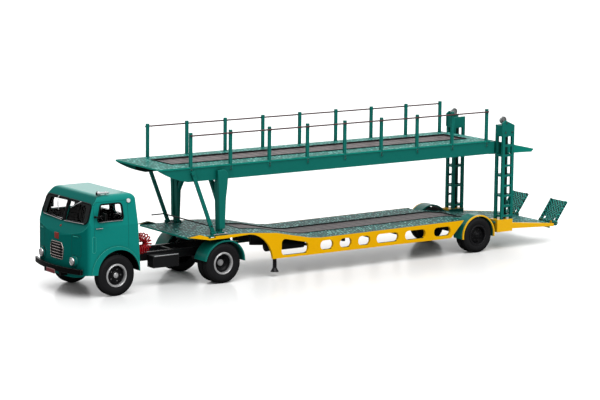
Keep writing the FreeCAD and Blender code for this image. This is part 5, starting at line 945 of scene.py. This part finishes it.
# ------------------------------------------------------------------ horns
# Two trumpet horns lie side by side on the roof, spun from brass and plated, with dark mouths.  Two
# short pins carry them.
horn_z, horn_end = 50.95, -135.2
pins_x, pins_y, pins_z = (-139.6, -136.6), -19.3, 49.9
horns, mouths = [], []
for y, mouth in ((-20.2, -142.0), (-18.4, -140.6)):
    long = horn_end - mouth
    bell = turned([(0.93, 0.0), (0.95, 0.12), (0.88, 0.3), (0.62, 0.9), (0.42, 1.8), (0.30, 3.0),
                   (0.27, long - 1.0), (0.45, long - 0.9), (0.5, long - 0.3), (0.3, long), (core, long)],
                  steps=24)
    throat = turned([(0.85, 0.02), (0.93, 0.0), (0.93, 0.06), (0.45, 0.35), (core, 0.5)], steps=24)
    place = at(mouth, y, horn_z) @ quarter("Z", -1)
    horns.append(set_out(bell, [place]))
    mouths.append(set_out(throat, [place]))
for x in pins_x:
    deselected()
    bpy.ops.mesh.primitive_cylinder_add(vertices=12, radius=0.25 * mm, depth=1.9 * mm,
                                        location=(x * mm, pins_y * mm, pins_z * mm))
    horns.append(bpy.context.object)
horns = finished(joined(horns), "trumpets", "tractor", chrome, "bright_metal")
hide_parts("horns")
finished(joined(mouths), "trumpet_mouths", "tractor", grille_black, "black_trim")

# ------------------------------------------------------------------ chassis boxes
# A battery box and a tool box of folded black sheet hang on the tractor's rails.  A bright metal
# strip along the outer edge of each lid is a painted highlight of the lids' lit tops.
give(black_steel, "side_boxes")
box_low, box_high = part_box("side_boxes")
strips = []
for side in (-1, 1):
    ends = [(x, side * (box_high[1] - 0.05 * mm), box_high[2] - 0.15 * mm)
            for x in (box_low[0] + 0.4 * mm, box_high[0] - 0.4 * mm)]
    strips.append(bead(ends, 0.36))
finished(joined(strips), "lid_highlight_strips", "tractor", bright_trim, "bright_metal")

# ------------------------------------------------------------------ air line
# The brake air line to the trailer is a red nylon coil, bent in a bow behind the cab between two
# plated couplings.
line_x, line_y, low_end, high_end = -119.4, -13.0, 19.85, 25.85
bow_x, bow_z, bow_radius = -111.9, 22.85, 3.0
coil_pitch, coil_radius, line_radius, points_a_turn = 1.12, 2.1, 0.34, 14
air_red = finish_of("air_red", (0.36, 0.003, 0.008), (0.5, 0.02, 0.03), 0.25, mottle=0.05)
path = [Vector((line_x + 0.75 * step, line_y, low_end)) for step in range(11)]
for step in range(25):
    turn = math.radians(-90 + 7.5 * step)
    path.append(Vector((bow_x + bow_radius * math.cos(turn), line_y, bow_z + bow_radius * math.sin(turn))))
path += [Vector((bow_x - 0.75 * step, line_y, high_end)) for step in range(1, 11)]
lengths = [0]
for here, following in zip(path, path[1:]):
    lengths.append(lengths[-1] + (following - here).length)
point_count = int(lengths[-1] / coil_pitch * points_a_turn)
sideways = Vector((0, 1, 0))
coil = []
for step in range(point_count):
    along = (step + 0.5) / point_count * lengths[-1]
    index = max(number for number, length in enumerate(lengths[:-1]) if length <= along)
    here, following = path[index], path[index + 1]
    centre = here.lerp(following, (along - lengths[index]) / (following - here).length)
    outward = (following - here).normalized().cross(sideways)
    turn = 2 * math.pi * along / coil_pitch
    coil.append((centre + (outward * math.cos(turn) + sideways * math.sin(turn)) * coil_radius) * mm)
coil = finished(joined([bead(coil, line_radius)]), "air_coil_red", "tractor", air_red, "red_line")
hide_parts("air_coil")
couplings = [bead([Vector((x, line_y, z)) * mm for x in (line_x, line_x + 1.2)], 0.6)
             for z in (low_end, high_end)]
finished(joined(couplings), "air_couplings", "tractor", chrome, "bright_metal")

# ------------------------------------------------------------------ wheels
# Black rubber tyres with circumferential grooves run on pressed steel discs.  The tractor's rims are
# ringed in polished silver; the trailer's are plain black.
tyre_rubber = finish_of("tyre_rubber", (0.010, 0.010, 0.011), (0.03, 0.03, 0.032), 0.55, mottle=0.35,
                        relief=0.05, grain=1300)
rim_silver = finish_of("rim_silver", (0.66, 0.66, 0.67), (0.9, 0.9, 0.9), 0.2, metallic=0.6, mottle=0.08)
nut_steel = finish_of("nut_steel", (0.16, 0.16, 0.165), (0.5, 0.5, 0.5), 0.35, metallic=0.5,
                      edge_width=0.08)
disc_black = finish_of("disc_black", (0.006, 0.006, 0.007), (0.08, 0.08, 0.085), 0.35, edge_width=0.12)


def tyre(radius, wide, bead_radius, start=0.0):
    """A tyre that starts at a distance from the wheel's inner face, turned from bead to bead."""
    grooves = []
    for number in range(3):
        middle = wide * (0.32 + 0.18 * number)
        grooves += [(radius, middle - 0.17), (radius - 0.3, middle - 0.11), (radius - 0.3, middle + 0.11),
                    (radius, middle + 0.17)]
    profile = [(bead_radius, 0.5), (bead_radius + 0.7, 0.15), (radius - 2.2, 0.0), (radius - 1.4, 0.06),
               (radius - 1.3, 0.16), (radius - 0.6, 0.3), (radius - 0.12, 0.62), (radius, wide * 0.2),
               *grooves, (radius, wide * 0.8), (radius - 0.12, wide - 0.62), (radius - 0.6, wide - 0.3),
               (radius - 1.3, wide - 0.16), (radius - 1.4, wide - 0.06), (radius - 2.2, wide),
               (bead_radius + 0.7, wide - 0.15), (bead_radius, wide - 0.5), (bead_radius, 0.5)]
    return turned([(around, start + along) for around, along in profile], steps=72)


def rim_ring(edge, outer):
    """The ring rolled on a rim, from the rim's edge inward."""
    return turned([(edge + 0.1, outer - 0.75), (edge + 0.1, outer - 0.45), (edge - 0.02, outer - 0.2),
                   (edge - 0.3, outer - 0.1), (edge - 0.42, outer - 0.24), (edge - 0.56, outer - 0.12),
                   (edge - 0.8, outer - 0.16), (edge - 0.92, outer - 0.5), (edge - 1.0, outer - 1.6),
                   (edge - 0.5, outer - 1.6), (edge + 0.1, outer - 0.75)], steps=72)


def deep_disc(outer):
    """A drive wheel's disc, dished inward, and its hub cap."""
    dish = turned([(core, outer - 3.6), (1.6, outer - 3.6), (2.2, outer - 3.75), (3.4, outer - 3.55),
                   (4.3, outer - 2.8), (4.75, outer - 1.4), (5.5, outer - 1.4), (5.5, outer - 4.2),
                   (core, outer - 4.2)], steps=72)
    cap = turned([(core, outer - 3.7), (1.75, outer - 3.7), (1.75, outer - 3.1), (1.5, outer - 2.85),
                  (1.1, outer - 2.8), (1.0, outer - 2.6), (core, outer - 2.5)], steps=32)
    return dish, cap


def shallow_disc(outer, inset):
    """A front or trailer wheel's flatter disc, reaching to its rim by an inset, and its hub cap."""
    dish = turned([(core, outer - 1.3), (1.7, outer - 1.3), (2.0, outer - 1.55), (3.6, outer - 1.6),
                   (4.1, outer - 2.0), (4.5 + inset, outer - 2.05), (4.85 + inset, outer - 1.4),
                   (5.5 + inset, outer - 1.4), (5.5 + inset, outer - 3.0), (core, outer - 3.0)], steps=72)
    cap = turned([(core, outer - 1.35), (1.3, outer - 1.35), (1.3, outer - 0.9), (1.1, outer - 0.75),
                  (0.75, outer - 0.75), (0.65, outer - 0.55), (core, outer - 0.5)], steps=32)
    return dish, cap


# Each kind has its body, its tyre node, a tyre's width, where its tyres start, its rim's radius, and
# the nuts' count, their circle's radius and how far they are sunk.
front_edge, twin_edge = 5.75, 5.65
wheel_kinds = (("front", "front_wheel", "front_tyre", 5.2, (0.0,), front_edge, 5, 2.95, 1.58),
               ("drive", "drive_wheels", "drive_tyres", 4.4, (0.0, 5.0), twin_edge, 8, 2.9, 3.6),
               ("trailer", "trailer_wheels", "trailer_tyres", 3.6, (0.0, 4.2), twin_edge, 8, 2.95, 1.58))
for kind, body, tyre_node, wide, starts, edge, nut_count, nut_circle, sunk in wheel_kinds:
    tyre_low, tyre_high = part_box(f"{tyre_node}_right")
    axle_x, inner, radius = (tyre_low[0] + tyre_high[0]) / 2 / mm, tyre_low[1] / mm, tyre_high[2] / 2 / mm
    outer = starts[-1] + wide
    tyres = [tyre(radius, wide, edge, start) for start in starts]
    ring = rim_ring(edge, outer)
    disc, cap = deep_disc(outer) if kind == "drive" else shallow_disc(outer, edge - front_edge)
    nut = bolt_mesh(0.34)
    trim = (disc_black, "black_paint") if kind == "trailer" else (rim_silver, "bright_metal")
    nut_finish = (nut_steel, "bright_metal") if kind == "front" else (disc_black, "black_paint")
    for side, name in ((-1, "left"), (1, "right")):
        place = at(axle_x, side * inner, radius)
        if side < 0:
            place = place @ quarter("Z", 2)
        rides = f"{body}_{name}"
        rubber = joined([set_out(part, [place]) for part in tyres])
        rubber = finished(rubber, f"{kind}_rubber_{name}", rides, tyre_rubber, "tyre_rubber")
        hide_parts(f"{tyre_node}_{name}")
        plate = finished(set_out(disc, [place]), f"{kind}_disc_{name}", rides, disc_black, "black_paint")
        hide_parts(f"{kind}_rim_{name}")
        finished(set_out(ring, [place]), f"{kind}_ring_{name}", rides, *trim)
        finished(set_out(cap, [place]), f"{kind}_hub_{name}", rides, *trim)
        nuts = []
        for number in range(nut_count):
            turn = 2 * math.pi * (number + 0.5) / nut_count
            nuts.append(place @ at(nut_circle * math.cos(turn), outer - sunk, nut_circle * math.sin(turn))
                        @ quarter("X", -1))
        finished(set_out(nut, nuts), f"{kind}_nuts_{name}", rides, *nut_finish)
